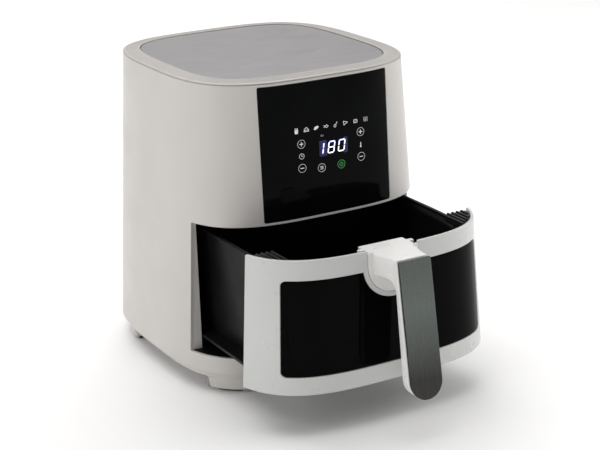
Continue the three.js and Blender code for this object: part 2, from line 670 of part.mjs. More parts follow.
function controlBoard() {
  const middle = (PANEL_BOTTOM + PANEL_TOP) / 2;
  const span = [PANEL_BOTTOM + BOARD_END_MARGIN, PANEL_TOP - BOARD_END_MARGIN];
  const half = PANEL_WIDTH / 2 - BOARD_SIDE_MARGIN;
  const front = -frontDepth(span[1]) + BOARD_BACKSET;
  const board = box([-half, half], [front, front + BOARD_THICKNESS], span);
  const displayBottom = middle - DISPLAY_HEIGHT / 2;
  const displayFront = front - GAP - DISPLAY_DEPTH;
  const display = box([-DISPLAY_WIDTH / 2, DISPLAY_WIDTH / 2], [displayFront, front - GAP],
    [displayBottom, displayBottom + DISPLAY_HEIGHT]);
  return [piece('control_board', board, BOARD_GREEN), piece('led_display', display, BLACK_GLOSS)];
}

// Block over one leg's corner, a margin in from the leg's inner sides.
function cornerBlock(sideX, sideY, margin, span) {
  const innerX = halfWidth(span[0]) - LEG_WIDTH + margin;
  const innerFront = frontDepth(span[0]) - FRONT_LEG_LENGTH + margin;
  const innerBack = backDepth(span[0]) - REAR_LEG_LENGTH + margin;
  const x = sideX < 0 ? [-BIG, -innerX] : [innerX, BIG];
  const y = sideY < 0 ? [-BIG, -innerFront] : [innerBack, BIG];
  return box(x, y, [span[0] - 1, span[1] + 1]);
}

function baseTray() {
  const skirtTop = SHELL_BOTTOM - GAP;
  const lower = bodyBlock([BASE_BOTTOM, skirtTop + 2], BASE_INSET);
  const upper = bodyBlock([skirtTop, SHELL_BOTTOM + BASE_RIM], SHELL_WALL + GAP);
  const hollow = bodyBlock([BASE_BOTTOM + BASE_FLOOR, BIG / 10], BASE_INSET + 4);
  let tray = cut(join(lower, upper), hollow);
  for (let i = 0; i < VENT_COUNT; i++) {
    const y = (i - (VENT_COUNT - 1) / 2) * VENT_PITCH;
    tray = cut(tray, box([-30, 30], [y - 2, y + 2], [0, SHELL_BOTTOM]));
  }
  const legSpan = [PAD_HEIGHT + GAP, BASE_BOTTOM + 1];
  const legs = loft([bodyRing(legSpan[0], LEG_INSET + LEG_TAPER), bodyRing(legSpan[1], LEG_INSET)]);
  for (const [, sideX, sideY] of CORNERS) {
    tray = join(tray, common(legs, cornerBlock(sideX, sideY, 0, legSpan)));
  }
  const insideShell = bodyBlock([0, SHELL_BOTTOM + BASE_RIM], BASE_INSET);
  for (const [x, y] of basePosts()) {
    const post = rod(POST_RADIUS, [BASE_BOTTOM + 1, SHELL_BOTTOM + BASE_RIM], x, y, 12);
    tray = join(tray, common(post, insideShell));
    tray = cut(tray, rod(SCREW_RADIUS + GAP, [0, BIG], x, y, 12));
    tray = cut(tray, rod(SCREW_HEAD_RADIUS + GAP, [0, BASE_BOTTOM], x, y, 12));
  }
  return piece('base_tray', tray, CREAM);
}

function footPads() {
  return CORNERS.map(([corner, sideX, sideY]) => {
    const span = [0, PAD_HEIGHT];
    const pad = common(bodyBlock(span, PAD_INSET), cornerBlock(sideX, sideY, PAD_MARGIN, span));
    return piece(`foot_pad_${corner}`, pad, RUBBER);
  });
}

function baseScrews() {
  return basePosts().map(([x, y], i) => {
    const head = rod(SCREW_HEAD_RADIUS, [BASE_BOTTOM - GAP - SCREW_HEAD_HEIGHT, BASE_BOTTOM - GAP], x, y, 12);
    const shank = rod(SCREW_RADIUS, [BASE_BOTTOM - 1, OPENING_BOTTOM - LEDGE - 3], x, y, 12);
    return piece(`base_screw_${i + 1}`, join(head, shank), STEEL);
  });
}

// ---- Cooking cavity -------------------------------------------------------------------

// Plan of the cavity: square at the front, round at the rear corners.
function cavityPlan(wall) {
  const x = CAVITY_HALF_WIDTH + wall;
  const back = CAVITY_BACK + wall;
  const radius = CAVITY_CORNER + wall;
  const front = wall > 0 ? LINER_FRONT : LINER_FRONT - 1;
  const shape = new THREE.Shape();
  shape.moveTo(-x, front);
  shape.lineTo(x, front);
  shape.absarc(x - radius, back - radius, radius, 0, Math.PI / 2);
  shape.absarc(-x + radius, back - radius, radius, Math.PI / 2, Math.PI);
  return shape;
}

function cavityLiner() {
  const outside = uprightPrism(cavityPlan(LINER_WALL), [OPENING_BOTTOM - LINER_WALL, LINER_TOP]);
  const inside = uprightPrism(cavityPlan(0), [OPENING_BOTTOM, OPENING_TOP]);
  const airHole = rod(GUARD_RADIUS - GUARD_SEAT, [OPENING_TOP - 5, LINER_TOP + 5], 0, FAN_Y, 32);
  const switchSpan = [CAVITY_BACK - 5, CAVITY_BACK + 5];
  const switchHole = rodAlongY(PLUNGER_RADIUS + 2 * GAP, switchSpan, SWITCH_X, SWITCH_Z);
  return piece('cavity_liner', cut(outside, inside, airHole, switchHole), COATED);
}

function rails() {
  return SIDES.map(([side, sign]) => {
    const outer = CAVITY_HALF_WIDTH - GAP;
    const inner = outer - RAIL_WIDTH;
    const x = sign < 0 ? [-outer, -inner] : [inner, outer];
    return piece(`rail_${side}`, box(x, [LINER_FRONT, RAIL_END], [RAIL_BOTTOM, RAIL_TOP]), COATED);
  });
}

function exhaustPort() {
  const half = DUCT_HALF_WIDTH - 3;
  return box([-half, half], [FAN_Y, BIG], [EXHAUST_BOTTOM, EXHAUST_BOTTOM + DUCT_HEIGHT - 4]);
}

// Upturned cup of sheet metal over the hot air system.
function cup(radius, top) {
  const outside = rod(radius, [HOUSING_BOTTOM, top], 0, FAN_Y, 32);
  const inside = rod(radius - SHEET, [HOUSING_BOTTOM - 1, top - SHEET], 0, FAN_Y, 32);
  return cut(outside, inside, exhaustPort());
}

const elementEnds = () => [[ELEMENT_INNER, FAN_Y - 18], [ELEMENT_OUTER, FAN_Y + 18]];
const PROBE_REACH = 0.92 * HOUSING_RADIUS * Math.SQRT1_2;
const probePlace = () => [-PROBE_REACH, FAN_Y + PROBE_REACH];

function pierced(solid) {
  const [probeX, probeY] = probePlace();
  let rest = cut(solid, rod(2 + 2 * GAP, [0, BIG], probeX, probeY, 12));
  for (const [x, y] of elementEnds()) {
    rest = cut(rest, rod(ELEMENT_TUBE + 2 * GAP, [0, BIG], x, y, 12));
  }
  return rest;
}

function heaterHousing() {
  const shaftHole = rod(SHAFT_RADIUS + 3, [0, BIG], 0, FAN_Y, 20);
  return piece('heater_housing', cut(pierced(cup(HOUSING_RADIUS, HOUSING_TOP)), shaftHole), STEEL);
}

function heatShield() {
  const hole = rod(MOTOR_RADIUS + 16, [HOUSING_TOP + 1, BIG], 0, FAN_Y, 32);
  return piece('heat_shield', cut(pierced(cup(SHIELD_RADIUS, SHIELD_TOP)), hole), STEEL);
}

function heatingElement() {
  const coilZ = HOUSING_TOP - ELEMENT_DROP;
  const [[innerX, innerY], [outerX, outerY]] = elementEnds();
  const top = SHIELD_TOP + 4;
  const riserHeights = [top, HOUSING_TOP, HOUSING_TOP - 8, coilZ + 10];
  const riser = (x, y) => riserHeights.map((z) => new THREE.Vector3(x, y, z));
  const points = riser(innerX, innerY);
  const stepsPerTurn = 14;
  const steps = ELEMENT_TURNS * stepsPerTurn;
  for (let i = 1; i < steps; i++) {
    const angle = (2 * Math.PI * i) / stepsPerTurn;
    const radius = THREE.MathUtils.lerp(ELEMENT_INNER, ELEMENT_OUTER, i / steps);
    points.push(new THREE.Vector3(radius * Math.cos(angle), FAN_Y + radius * Math.sin(angle), coilZ));
  }
  points.push(...riser(outerX, outerY).reverse());
  const section = new THREE.Shape().absarc(0, 0, ELEMENT_TUBE, 0, 2 * Math.PI);
  const extrudePath = new THREE.CatmullRomCurve3(points, false, 'centripetal');
  const geometry = new THREE.ExtrudeGeometry(section, { steps: 54, extrudePath, curveSegments: 3 });
  return piece('heating_element', toSolid(geometry), COPPER_RED);
}

function heaterGuard() {
  const span = [GUARD_BOTTOM, GUARD_BOTTOM + GUARD_THICKNESS];
  const rings = [];
  for (let i = 1; i <= GUARD_RINGS; i++) {
    const outer = (GUARD_RADIUS * i) / GUARD_RINGS;
    rings.push(cut(rod(outer, span, 0, FAN_Y, 18), rod(outer - GUARD_BAR, [0, BIG], 0, FAN_Y, 18)));
  }
  const spokes = [];
  for (let i = 0; i < GUARD_SPOKES; i++) {
    const geometry = new THREE.BoxGeometry(2 * GUARD_RADIUS - 2, GUARD_BAR, span[1] - span[0]);
    geometry.rotateZ((Math.PI * i) / GUARD_SPOKES);
    geometry.translate(0, FAN_Y, (span[0] + span[1]) / 2);
    spokes.push(toSolid(geometry));
  }
  return piece('heater_guard', join(...rings, ...spokes), STEEL);
}

function temperatureProbe() {
  const [x, y] = probePlace();
  const stem = rod(2, [HOUSING_BOTTOM + 4, SHIELD_TOP + 2], x, y, 12);
  const head = rod(4, [SHIELD_TOP + GAP, SHIELD_TOP + 6], x, y, 12);
  return piece('temperature_probe', join(stem, head), STEEL);
}

function thermalFuse() {
  const place = SHIELD_RADIUS * 0.6;
  return piece('thermal_fuse', rod(4, [SHIELD_TOP + GAP, SHIELD_TOP + 11], place, FAN_Y + place, 12), WHITE);
}

// Radial fan with its disc on top and its blades under it, or the other way up.
function impeller(radius, blades, [z0, z1], discOnTop) {
  const disc = discOnTop ? [z1 - 1.5, z1] : [z0, z0 + 1.5];
  const bladeSpan = discOnTop ? [z0, z1 - 1] : [z0 + 1, z1];
  let wheel = join(rod(radius, disc, 0, FAN_Y, 24), rod(HUB_RADIUS, [z0, z1], 0, FAN_Y, 20));
  for (let i = 0; i < blades; i++) {
    const length = radius - HUB_RADIUS - 6;
    const geometry = new THREE.BoxGeometry(length, BLADE_THICKNESS, bladeSpan[1] - bladeSpan[0]);
    geometry.rotateZ(0.35);
    geometry.translate(HUB_RADIUS + 4 + length / 2, 0, (bladeSpan[0] + bladeSpan[1]) / 2);
    geometry.rotateZ((2 * Math.PI * i) / blades);
    geometry.translate(0, FAN_Y, 0);
    wheel = join(wheel, toSolid(geometry));
  }
  return cut(wheel, rod(SHAFT_RADIUS + GAP, [0, BIG], 0, FAN_Y, 20));
}

function rotor() {
  const shaft = rod(SHAFT_RADIUS, [FAN_BOTTOM - 3, COOLER_TOP + 3], 0, FAN_Y, 20);
  const fan = impeller(FAN_RADIUS, FAN_BLADES, [FAN_BOTTOM, FAN_TOP], true);
  const cooler = impeller(COOLER_RADIUS, COOLER_BLADES, [COOLER_BOTTOM, COOLER_TOP], false);
  return [
    piece('motor_shaft', shaft, STEEL),
    piece('hot_air_fan', fan, STEEL),
    piece('cooling_fan', cooler, BLACK_PLASTIC),
  ];
}

function motor() {
  const can = rod(MOTOR_RADIUS, [MOTOR_BOTTOM, MOTOR_TOP], 0, FAN_Y, 32);
  const bearing = rod(HUB_RADIUS, [MOTOR_BOTTOM - 4, MOTOR_TOP + 3], 0, FAN_Y, 20);
  const bore = rod(SHAFT_RADIUS + GAP, [0, BIG], 0, FAN_Y, 20);
  return piece('motor', cut(join(can, bearing), bore), DARK_STEEL);
}

function motorBracket() {
  const plateTop = MOTOR_BOTTOM - GAP;
  let bracket = rod(MOTOR_RADIUS + 10, [plateTop - 2.5, plateTop], 0, FAN_Y, 32);
  for (let i = 0; i < 3; i++) {
    const angle = (2 * Math.PI * i) / 3;
    const x = (MOTOR_RADIUS + 3) * Math.cos(angle);
    const y = FAN_Y + (MOTOR_RADIUS + 3) * Math.sin(angle);
    bracket = join(bracket, rod(5, [HOUSING_TOP + GAP, plateTop - 1], x, y, 12));
  }
  return piece('motor_bracket', cut(bracket, rod(HUB_RADIUS + 2, [0, BIG], 0, FAN_Y, 20)), STEEL);
}

function powerBoard() {
  const y = backDepth(SHELL_TOP) - POWER_BOARD_ROOM;
  const z = SHIELD_TOP + POWER_BOARD_FOOT;
  const half = POWER_BOARD_WIDTH / 2;
  const board = box([-half, half], [y, y + BOARD_THICKNESS], [z, SHELL_TOP - POWER_BOARD_HEAD]);
  const transformer = box([-40, -12], [y - 18, y + 0.5], [z + 10, z + 36]);
  const relay = box([4, 24], [y - 14, y + 0.5], [z + 12, z + 28]);
  const capacitor = rodAlongY(7, [y - 20, y + 0.5], 38, z + 50, 16);
  return piece('power_board', join(board, transformer, relay, capacitor), BOARD_GREEN);
}

function exhaustDuct() {
  const z = [EXHAUST_BOTTOM - 2, EXHAUST_BOTTOM - 2 + DUCT_HEIGHT];
  const corner = DUCT_HALF_WIDTH;
  const y = [FAN_Y + SHIELD_RADIUS + GAP, surfaceY(corner, z[1], 1, REAR_WALL) - GAP];
  const tube = box([-corner, corner], y, z);
  const passage = box([-corner + 1.5, corner - 1.5], [0, BIG], [z[0] + 1.5, z[1] - 1.5]);
  return piece('exhaust_duct', cut(tube, passage), BLACK_PLASTIC);
}

function interlockSwitch() {
  const [width, depth, height] = SWITCH_SIZE;
  const front = CAVITY_BACK + LINER_WALL + GAP;
  const bodyBox = box([SWITCH_X - width / 2, SWITCH_X + width / 2], [front, front + depth],
    [SWITCH_Z - height / 2, SWITCH_Z + height / 2]);
  const boreEnd = PLUNGER_TIP + PLUNGER_LENGTH + PLUNGER_TRAVEL + 1;
  const bore = rodAlongY(PLUNGER_RADIUS + GAP, [front - 1, boreEnd], SWITCH_X, SWITCH_Z);
  return piece('interlock_switch', cut(bodyBox, bore), BLACK_PLASTIC);
}

function interlockPlunger() {
  const pin = rodAlongY(PLUNGER_RADIUS, [PLUNGER_TIP, PLUNGER_TIP + PLUNGER_LENGTH], SWITCH_X, SWITCH_Z);
  return piece('interlock_plunger', pin, WHITE);
}

// ---- Drawer ---------------------------------------------------------------------------

const windowHalfWidth = (z) => WINDOW_SHARE * halfWidth(z);

// Window outline grown outwards, with a round notch over the handle's bracket.
function windowShape(grow) {
  const radius = WINDOW_CORNER + grow;
  const low = WINDOW_BOTTOM - grow + radius;
  const high = WINDOW_TOP + grow - radius;
  const lowX = windowHalfWidth(low) + grow - radius;
  const highX = windowHalfWidth(high) + grow - radius;
  const quarter = Math.PI / 2;
  const shape = new THREE.Shape();
  shape.absarc(-lowX, low, radius, 2 * quarter, 3 * quarter);
  shape.absarc(lowX, low, radius, 3 * quarter, 4 * quarter);
  shape.absarc(highX, high, radius, 0, quarter);
  const notch = BRACKET_HALF_WIDTH + NOTCH_MARGIN - grow;
  const angle = Math.asin((BRACKET_CENTRE - WINDOW_TOP - grow) / notch);
  shape.absarc(0, BRACKET_CENTRE, notch, -angle, angle - Math.PI, true);
  shape.absarc(-highX, high, radius, quarter, 2 * quarter);
  return shape;
}

const windowBlock = (grow) => frontPrism(windowShape(grow), [-BIG, EAR_Y], 6);

function bracketShape(grow) {
  const half = BRACKET_HALF_WIDTH + grow;
  const shape = new THREE.Shape();
  shape.moveTo(half, BIG);
  shape.lineTo(-half, BIG);
  shape.absarc(0, BRACKET_CENTRE, half, Math.PI, 2 * Math.PI);
  return shape;
}

const bracketBlock = (grow) => frontPrism(bracketShape(grow), [-BIG, 0], 10);
const drawerReach = (y) => box([-BIG, BIG], [-BIG, y], [-BIG, BIG]);

function drawerFront() {
  const skin = bodySkin([DRAWER_BOTTOM, DRAWER_TOP], 0, DRAWER_WALL);
  const face = common(skin, drawerReach(DRAWER_EAR));
  return piece('drawer_front', cut(face, windowBlock(0), bracketBlock(GAP)), CREAM);
}

function drawerWindow() {
  const span = [DRAWER_BOTTOM, DRAWER_TOP];
  const glassSkin = bodySkin(span, WINDOW_BACKSET, WINDOW_BACKSET + WINDOW_GLASS);
  const gasketSkin = bodySkin(span, GASKET_INSET, GASKET_INSET + GASKET_THICKNESS);
  const gasket = cut(common(gasketSkin, windowBlock(GASKET_LAP)), windowBlock(-GASKET_LAP));
  return [
    piece('window_outer', common(glassSkin, windowBlock(-GAP)), SMOKED_GLASS),
    piece('window_gasket', gasket, RUBBER),
  ];
}

function drawerInnerFrame() {
  const span = [INNER_FRAME_BOTTOM, INNER_FRAME_TOP];
  const reach = drawerReach(INNER_FRAME_EAR);
  const skin = bodySkin(span, INNER_FRAME_INSET, INNER_FRAME_INSET + INNER_FRAME_WALL);
  const filled = bodyBlock([span[0], span[1] + RIB_RISE], INNER_FRAME_INSET + INNER_FRAME_WALL / 2);
  const ribSpan = [span[0] + 1, span[1] + RIB_RISE];
  const ledgeSpans = [[span[0], span[0] + INNER_LEDGE], [span[1] - INNER_LEDGE, span[1]]];
  const panRoom = panBlock([0, 300], PAN_LIP + GAP + 0.5);
  let frame = cut(common(skin, reach), windowBlock(-GASKET_LAP));
  for (const [z0, z1] of ledgeSpans) {
    const ledge = common(filled, box([-BIG, BIG], [-BIG, INNER_FRAME_EAR], [z0, z1]));
    frame = join(frame, cut(ledge, panRoom));
  }
  for (let i = 0; i < RIB_COUNT; i++) {
    const y = INNER_FRAME_EAR - RIB_START - i * RIB_PITCH;
    const rib = common(filled, box([-BIG, BIG], [y - RIB_THICKNESS, y], ribSpan));
    const clear = box([-0.86 * CAVITY_HALF_WIDTH, 0.86 * CAVITY_HALF_WIDTH], [-BIG, BIG], [0, BIG]);
    frame = join(frame, cut(rib, panRoom, clear));
  }
  for (const [x, z] of handleScrewPlaces()) {
    frame = cut(frame, rodAlongY(SCREW_RADIUS + GAP, [-BIG, EAR_Y], x, z, 12));
  }
  return piece('drawer_inner_frame', frame, BLACK_PLASTIC);
}

function portShape(grow) {
  const half = PAN_HALF_WIDTH - PORT_SIDE_MARGIN + grow;
  const foot = PAN_FLOOR + PORT_FOOT - grow;
  const head = PAN_RIM - PORT_HEAD + grow;
  return roundedRectangle(-half, half, foot, head, PORT_CORNER + grow);
}

const portBlock = (grow) => frontPrism(portShape(grow), [-BIG, PAN_CENTRE_Y - PAN_HALF_DEPTH / 2], 4);
const panSkin = (outer, inner) => cut(panBlock([PAN_FLOOR + 5, PAN_RIM], outer), panBlock([0, 200], inner));

function pan() {
  const inside = panBlock([PAN_FLOOR + PAN_WALL, PAN_RIM + PAST], -PAN_WALL);
  const outside = panBlock([PAN_FLOOR, PAN_RIM], 0);
  const lip = panBlock([PAN_RIM - PAN_LIP_HEIGHT, PAN_RIM], PAN_LIP);
  return piece('pan', cut(join(outside, lip), inside, portBlock(0)), COATED);
}

function panWindow() {
  const glass = common(panSkin(GAP + PORT_GLASS, GAP), portBlock(PORT_LAP));
  const frameInner = 2 * GAP + PORT_GLASS;
  const frame = common(panSkin(frameInner + PORT_FRAME, frameInner), portBlock(PORT_LAP + 1));
  return [
    piece('window_inner', glass, SMOKED_GLASS),
    piece('window_inner_frame', cut(frame, portBlock(1)), BLACK_PLASTIC),
  ];
}

function runners() {
  return SIDES.map(([side, sign]) => {
    const outer = CAVITY_HALF_WIDTH - 2 * GAP;
    const inner = PAN_HALF_WIDTH / 2;
    const x = sign < 0 ? [-outer, -inner] : [inner, outer];
    const z = [RAIL_TOP + GAP, RAIL_TOP + GAP + RUNNER_HEIGHT];
    const strip = cut(box(x, [LINER_FRONT, RAIL_END], z), panBlock([0, 200], GAP));
    return piece(`runner_${side}`, strip, COATED);
  });
}

function interlockTab() {
  const half = 5;
  const block = box([SWITCH_X - half, SWITCH_X + half], [0, TAB_BACK], [SWITCH_Z - 6, SWITCH_Z + 4]);
  return piece('interlock_tab', cut(block, panBlock([0, 200], GAP)), BLACK_PLASTIC);
}

// ---- Crisper plate --------------------------------------------------------------------

const BUMPER_OUTSIDE = -PAN_WALL - 0.6;
const CRISPER_EDGE = BUMPER_OUTSIDE - BUMPER_THICKNESS - GAP;

function crisperPlate() {
  const span = [CRISPER_Z, CRISPER_Z + CRISPER_THICKNESS];
  let plate = panBlock(span, CRISPER_EDGE);
  for (const [place, length, count] of CRISPER_RINGS) {
    for (let i = 0; i < count; i++) {
      const geometry = new THREE.BoxGeometry(length * PAN_HALF_WIDTH, CRISPER_SLOT, 3 * CRISPER_THICKNESS);
      geometry.translate(place * PAN_HALF_WIDTH, 0, CRISPER_Z + CRISPER_THICKNESS / 2);
      geometry.rotateZ((2 * Math.PI * i) / count);
      geometry.translate(0, PAN_CENTRE_Y, 0);
      plate = cut(plate, toSolid(geometry));
    }
  }
  for (const [, sideX, sideY] of CORNERS) {
    const x = sideX * CRISPER_LEG_SHARE * PAN_HALF_WIDTH;
    const y = PAN_CENTRE_Y + sideY * CRISPER_LEG_SHARE * PAN_HALF_DEPTH;
    plate = join(plate, rod(CRISPER_LEG, [PAN_FLOOR + PAN_WALL + GAP, CRISPER_Z + 1], x, y, 12));
  }
  return piece('crisper_plate', plate, COATED);
}

function crisperBumpers() {
  const middle = CRISPER_Z + CRISPER_THICKNESS / 2;
  const span = [middle - BUMPER_HEIGHT / 2, middle + BUMPER_HEIGHT / 2];
  const band = cut(panBlock(span, BUMPER_OUTSIDE), panBlock([0, 200], BUMPER_OUTSIDE - BUMPER_THICKNESS));
  const cornerX = 0.857 * PAN_HALF_WIDTH;
  const cornerY = 0.857 * PAN_HALF_DEPTH;
  const half = BUMPER_CORNER / 2;
  return CORNERS.map(([corner, sideX, sideY]) => {
    const x = sideX * cornerX;
    const y = PAN_CENTRE_Y + sideY * cornerY;
    const reach = box([x - half, x + half], [y - half, y + half], [0, 200]);
    return piece(`bumper_${corner}`, common(band, reach), SILICONE);
  });
}

// ---- Handle ---------------------------------------------------------------------------

const LEAN_SLOPE = Math.tan(GRIP_LEAN);
const gripFrontY = (z) => GRIP_TOP_Y - (BRIDGE_TOP - z) * LEAN_SLOPE;
const ARM_BACKSET = (PLATE_FACE + CORE_THICKNESS + 2 * GAP) / Math.cos(GRIP_LEAN);
const HANDLE_SCREW_Z = (BRIDGE_TOP + BRIDGE_BOTTOM) / 2;
const handleScrewPlaces = () => SIDES.map(([, sign]) => [sign * HANDLE_SCREW_X, HANDLE_SCREW_Z]);

// Side view of the bridge and grip, one moulding.
function armProfile() {
  const frontAt = (z) => gripFrontY(z) + ARM_BACKSET;
  const filletZ = BRIDGE_BOTTOM - GRIP_FILLET;
  const backTop = frontAt(filletZ) + GRIP_TOP_THICKNESS;
  const start = surfaceY(0, BRIDGE_TOP, -1, DRAWER_WALL - 0.5);
  const shape = new THREE.Shape();
  shape.moveTo(start, BRIDGE_TOP);
  shape.lineTo(frontAt(BRIDGE_TOP), BRIDGE_TOP);
  shape.lineTo(frontAt(GRIP_BOTTOM), GRIP_BOTTOM);
  shape.lineTo(frontAt(GRIP_BOTTOM) + GRIP_BOTTOM_THICKNESS, GRIP_BOTTOM);
  shape.lineTo(backTop, filletZ);
  shape.absarc(backTop + GRIP_FILLET, filletZ, GRIP_FILLET, Math.PI, Math.PI / 2, true);
  shape.lineTo(start, BRIDGE_BOTTOM);
  return shape;
}

// Plan of the bridge, which narrows from the drawer to the grip.
function bridgePlan() {
  const shape = new THREE.Shape();
  const front = GRIP_TOP_Y + ARM_BACKSET + GRIP_TOP_THICKNESS;
  shape.moveTo(-BRIDGE_HALF_WIDTH, 0);
  shape.lineTo(-BRIDGE_HALF_WIDTH, -frontDepth(BRIDGE_TOP));
  shape.lineTo(-GRIP_HALF_WIDTH, front);
  shape.lineTo(-GRIP_HALF_WIDTH, -BIG);
  shape.lineTo(GRIP_HALF_WIDTH, -BIG);
  shape.lineTo(GRIP_HALF_WIDTH, front);
  shape.lineTo(BRIDGE_HALF_WIDTH, -frontDepth(BRIDGE_TOP));
  shape.lineTo(BRIDGE_HALF_WIDTH, 0);
  return shape;
}

// Front view of the grip: wide above, with a half-round lower end.
function gripOutline(half, top, bottom) {
  const shape = new THREE.Shape();
  shape.moveTo(half, top);
  shape.lineTo(-half, top);
  shape.absarc(0, bottom + half, half, Math.PI, 2 * Math.PI);
  return shape;
}

function handleArm() {
  const profile = sidePrism(armProfile(), 2 * BRIDGE_HALF_WIDTH);
  const plan = uprightPrism(bridgePlan(), [-BIG, BIG]);
  const lower = frontPrism(gripOutline(GRIP_HALF_WIDTH, BRIDGE_BOTTOM - 2, GRIP_BOTTOM), [-BIG, BIG], 10);
  const upper = box([-BIG, BIG], [-BIG, BIG], [BRIDGE_BOTTOM - 4, BIG]);
  const arm = common(profile, plan, join(lower, upper));
  const plateSpan = [BRACKET_BOTTOM - 5, BRIDGE_TOP];
  const bracket = common(bodySkin(plateSpan, 0, DRAWER_WALL), bracketBlock(0));
  const hookSpan = [BRIDGE_TOP - HOOK_THICKNESS, BRIDGE_TOP];
  const wallInside = surfaceY(0, BRIDGE_TOP, -1, DRAWER_WALL);
  const neckHalf = BRACKET_HALF_WIDTH - 3;
  const neck = box([-neckHalf, neckHalf], [wallInside - 1.5, PAN_FRONT + NECK_REACH], hookSpan);
  const hookFront = wallInside + GAP + 8;
  const hookHalf = BRACKET_HALF_WIDTH + HOOK_MARGIN;
  const hooks = box([-hookHalf, hookHalf], [hookFront, hookFront + HOOK_DEPTH], hookSpan);
  let solid = join(arm, bracket, neck, hooks);
  for (const [x, z] of handleScrewPlaces()) {
    solid = cut(solid, rodAlongY(SCREW_RADIUS + GAP, [-frontDepth(z) - 12, 0], x, z, 12));
  }
  return piece('handle_arm', solid, WHITE);
}

// Flat plate on the grip's leaning front, a given distance behind the outermost face.
function gripPlate(backset, thickness, inset) {
  const slant = 1 / Math.cos(GRIP_LEAN);
  const length = (BRIDGE_TOP - GRIP_BOTTOM) * slant;
  const outline = gripOutline(GRIP_HALF_WIDTH - inset, -inset, -length + inset);
  const sweep = { depth: thickness, bevelEnabled: false, curveSegments: 12 };
  const geometry = new THREE.ExtrudeGeometry(outline, sweep);
  geometry.rotateX(Math.PI / 2);
  geometry.translate(0, backset + thickness, 0);
  geometry.rotateX(-GRIP_LEAN);
  geometry.translate(0, GRIP_TOP_Y, BRIDGE_TOP);
  return toSolid(geometry);
}

function handleTrim() {
  return [
    piece('handle_plate', gripPlate(0, PLATE_FACE, 0), DARK_STEEL),
    piece('handle_core', gripPlate(PLATE_FACE + GAP, CORE_THICKNESS, CORE_INSET), BLACK_PLASTIC),
  ];
}

function handleScrews() {
  return handleScrewPlaces().map(([x, z], i) => {
    const seat = surfaceY(x, z, -1, INNER_FRAME_INSET + INNER_FRAME_WALL) + 2 * GAP;
    const head = rodAlongY(SCREW_HEAD_RADIUS, [seat, seat + SCREW_HEAD_HEIGHT], x, z);
    const shank = rodAlongY(SCREW_RADIUS, [-frontDepth(z) - 10, seat + 0.5], x, z, 12);
    return piece(`handle_screw_${i + 1}`, join(head, shank), STEEL);
  });
}

// ---- Assembly -------------------------------------------------------------------------

const crisper = new THREE.Group();
crisper.add(crisperPlate(), ...crisperBumpers());

const drawer = new THREE.Group();
drawer.add(drawerFront(), ...drawerWindow(), drawerInnerFrame(), pan(), ...panWindow());
drawer.add(...runners(), interlockTab(), handleArm(), ...handleTrim(), ...handleScrews(), crisper);
drawer.position.y = -DRAWER_OUT;

const airFryer = new THREE.Group();
airFryer.add(outerShell(), rearCover(), ...rearScrews(), cordInlet(), topRim(), topPlate());
airFryer.add(controlGlass(), controlFrame(), ...controlBoard(), baseTray(), ...footPads(), ...baseScrews());
airFryer.add(cavityLiner(), ...rails(), heaterHousing(), heatShield(), heatingElement(), heaterGuard());
airFryer.add(temperatureProbe(), thermalFuse(), ...rotor(), motor(), motorBracket(), powerBoard());
airFryer.add(exhaustDuct(), interlockSwitch(), interlockPlunger(), drawer);

// The origin is under the middle of the whole object, drawer included.
airFryer.updateMatrixWorld(true);
const middle = new THREE.Box3().setFromObject(airFryer, true).getCenter(new THREE.Vector3());
airFryer.position.y = -middle.y;

export default airFryer;
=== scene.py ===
import copy
import json
from math import asin, ceil, copysign, cos, degrees, hypot, pi, radians, sin, sqrt, tan

import bpy
import numpy as np
from mathutils import Matrix, Vector
from mathutils.geometry import delaunay_2d_cdt


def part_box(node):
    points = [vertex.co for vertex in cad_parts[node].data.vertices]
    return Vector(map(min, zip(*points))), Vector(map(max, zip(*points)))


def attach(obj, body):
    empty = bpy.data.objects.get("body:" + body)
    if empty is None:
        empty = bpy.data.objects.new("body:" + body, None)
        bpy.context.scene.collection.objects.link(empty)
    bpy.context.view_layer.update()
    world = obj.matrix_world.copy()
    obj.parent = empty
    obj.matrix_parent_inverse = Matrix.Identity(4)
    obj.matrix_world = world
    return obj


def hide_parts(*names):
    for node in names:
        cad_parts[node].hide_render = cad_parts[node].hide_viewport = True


# A countertop air fryer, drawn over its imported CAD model. Lengths below are in millimetres,
# heights are above the floor, and MM turns them into metres.

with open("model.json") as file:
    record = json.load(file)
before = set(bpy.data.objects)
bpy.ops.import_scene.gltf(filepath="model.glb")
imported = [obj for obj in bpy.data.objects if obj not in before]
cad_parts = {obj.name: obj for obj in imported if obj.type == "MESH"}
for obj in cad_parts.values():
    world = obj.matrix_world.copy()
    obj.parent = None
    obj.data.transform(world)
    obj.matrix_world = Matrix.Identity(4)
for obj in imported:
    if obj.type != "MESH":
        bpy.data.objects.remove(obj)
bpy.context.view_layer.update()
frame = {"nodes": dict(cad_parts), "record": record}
MM = 0.001


# ---- Outlines in plan ----


QUARTER = 2000  # samples of an outline from the middle of its front to its side
FRONT, BACK = slice(0, QUARTER + 1), slice(QUARTER, None)


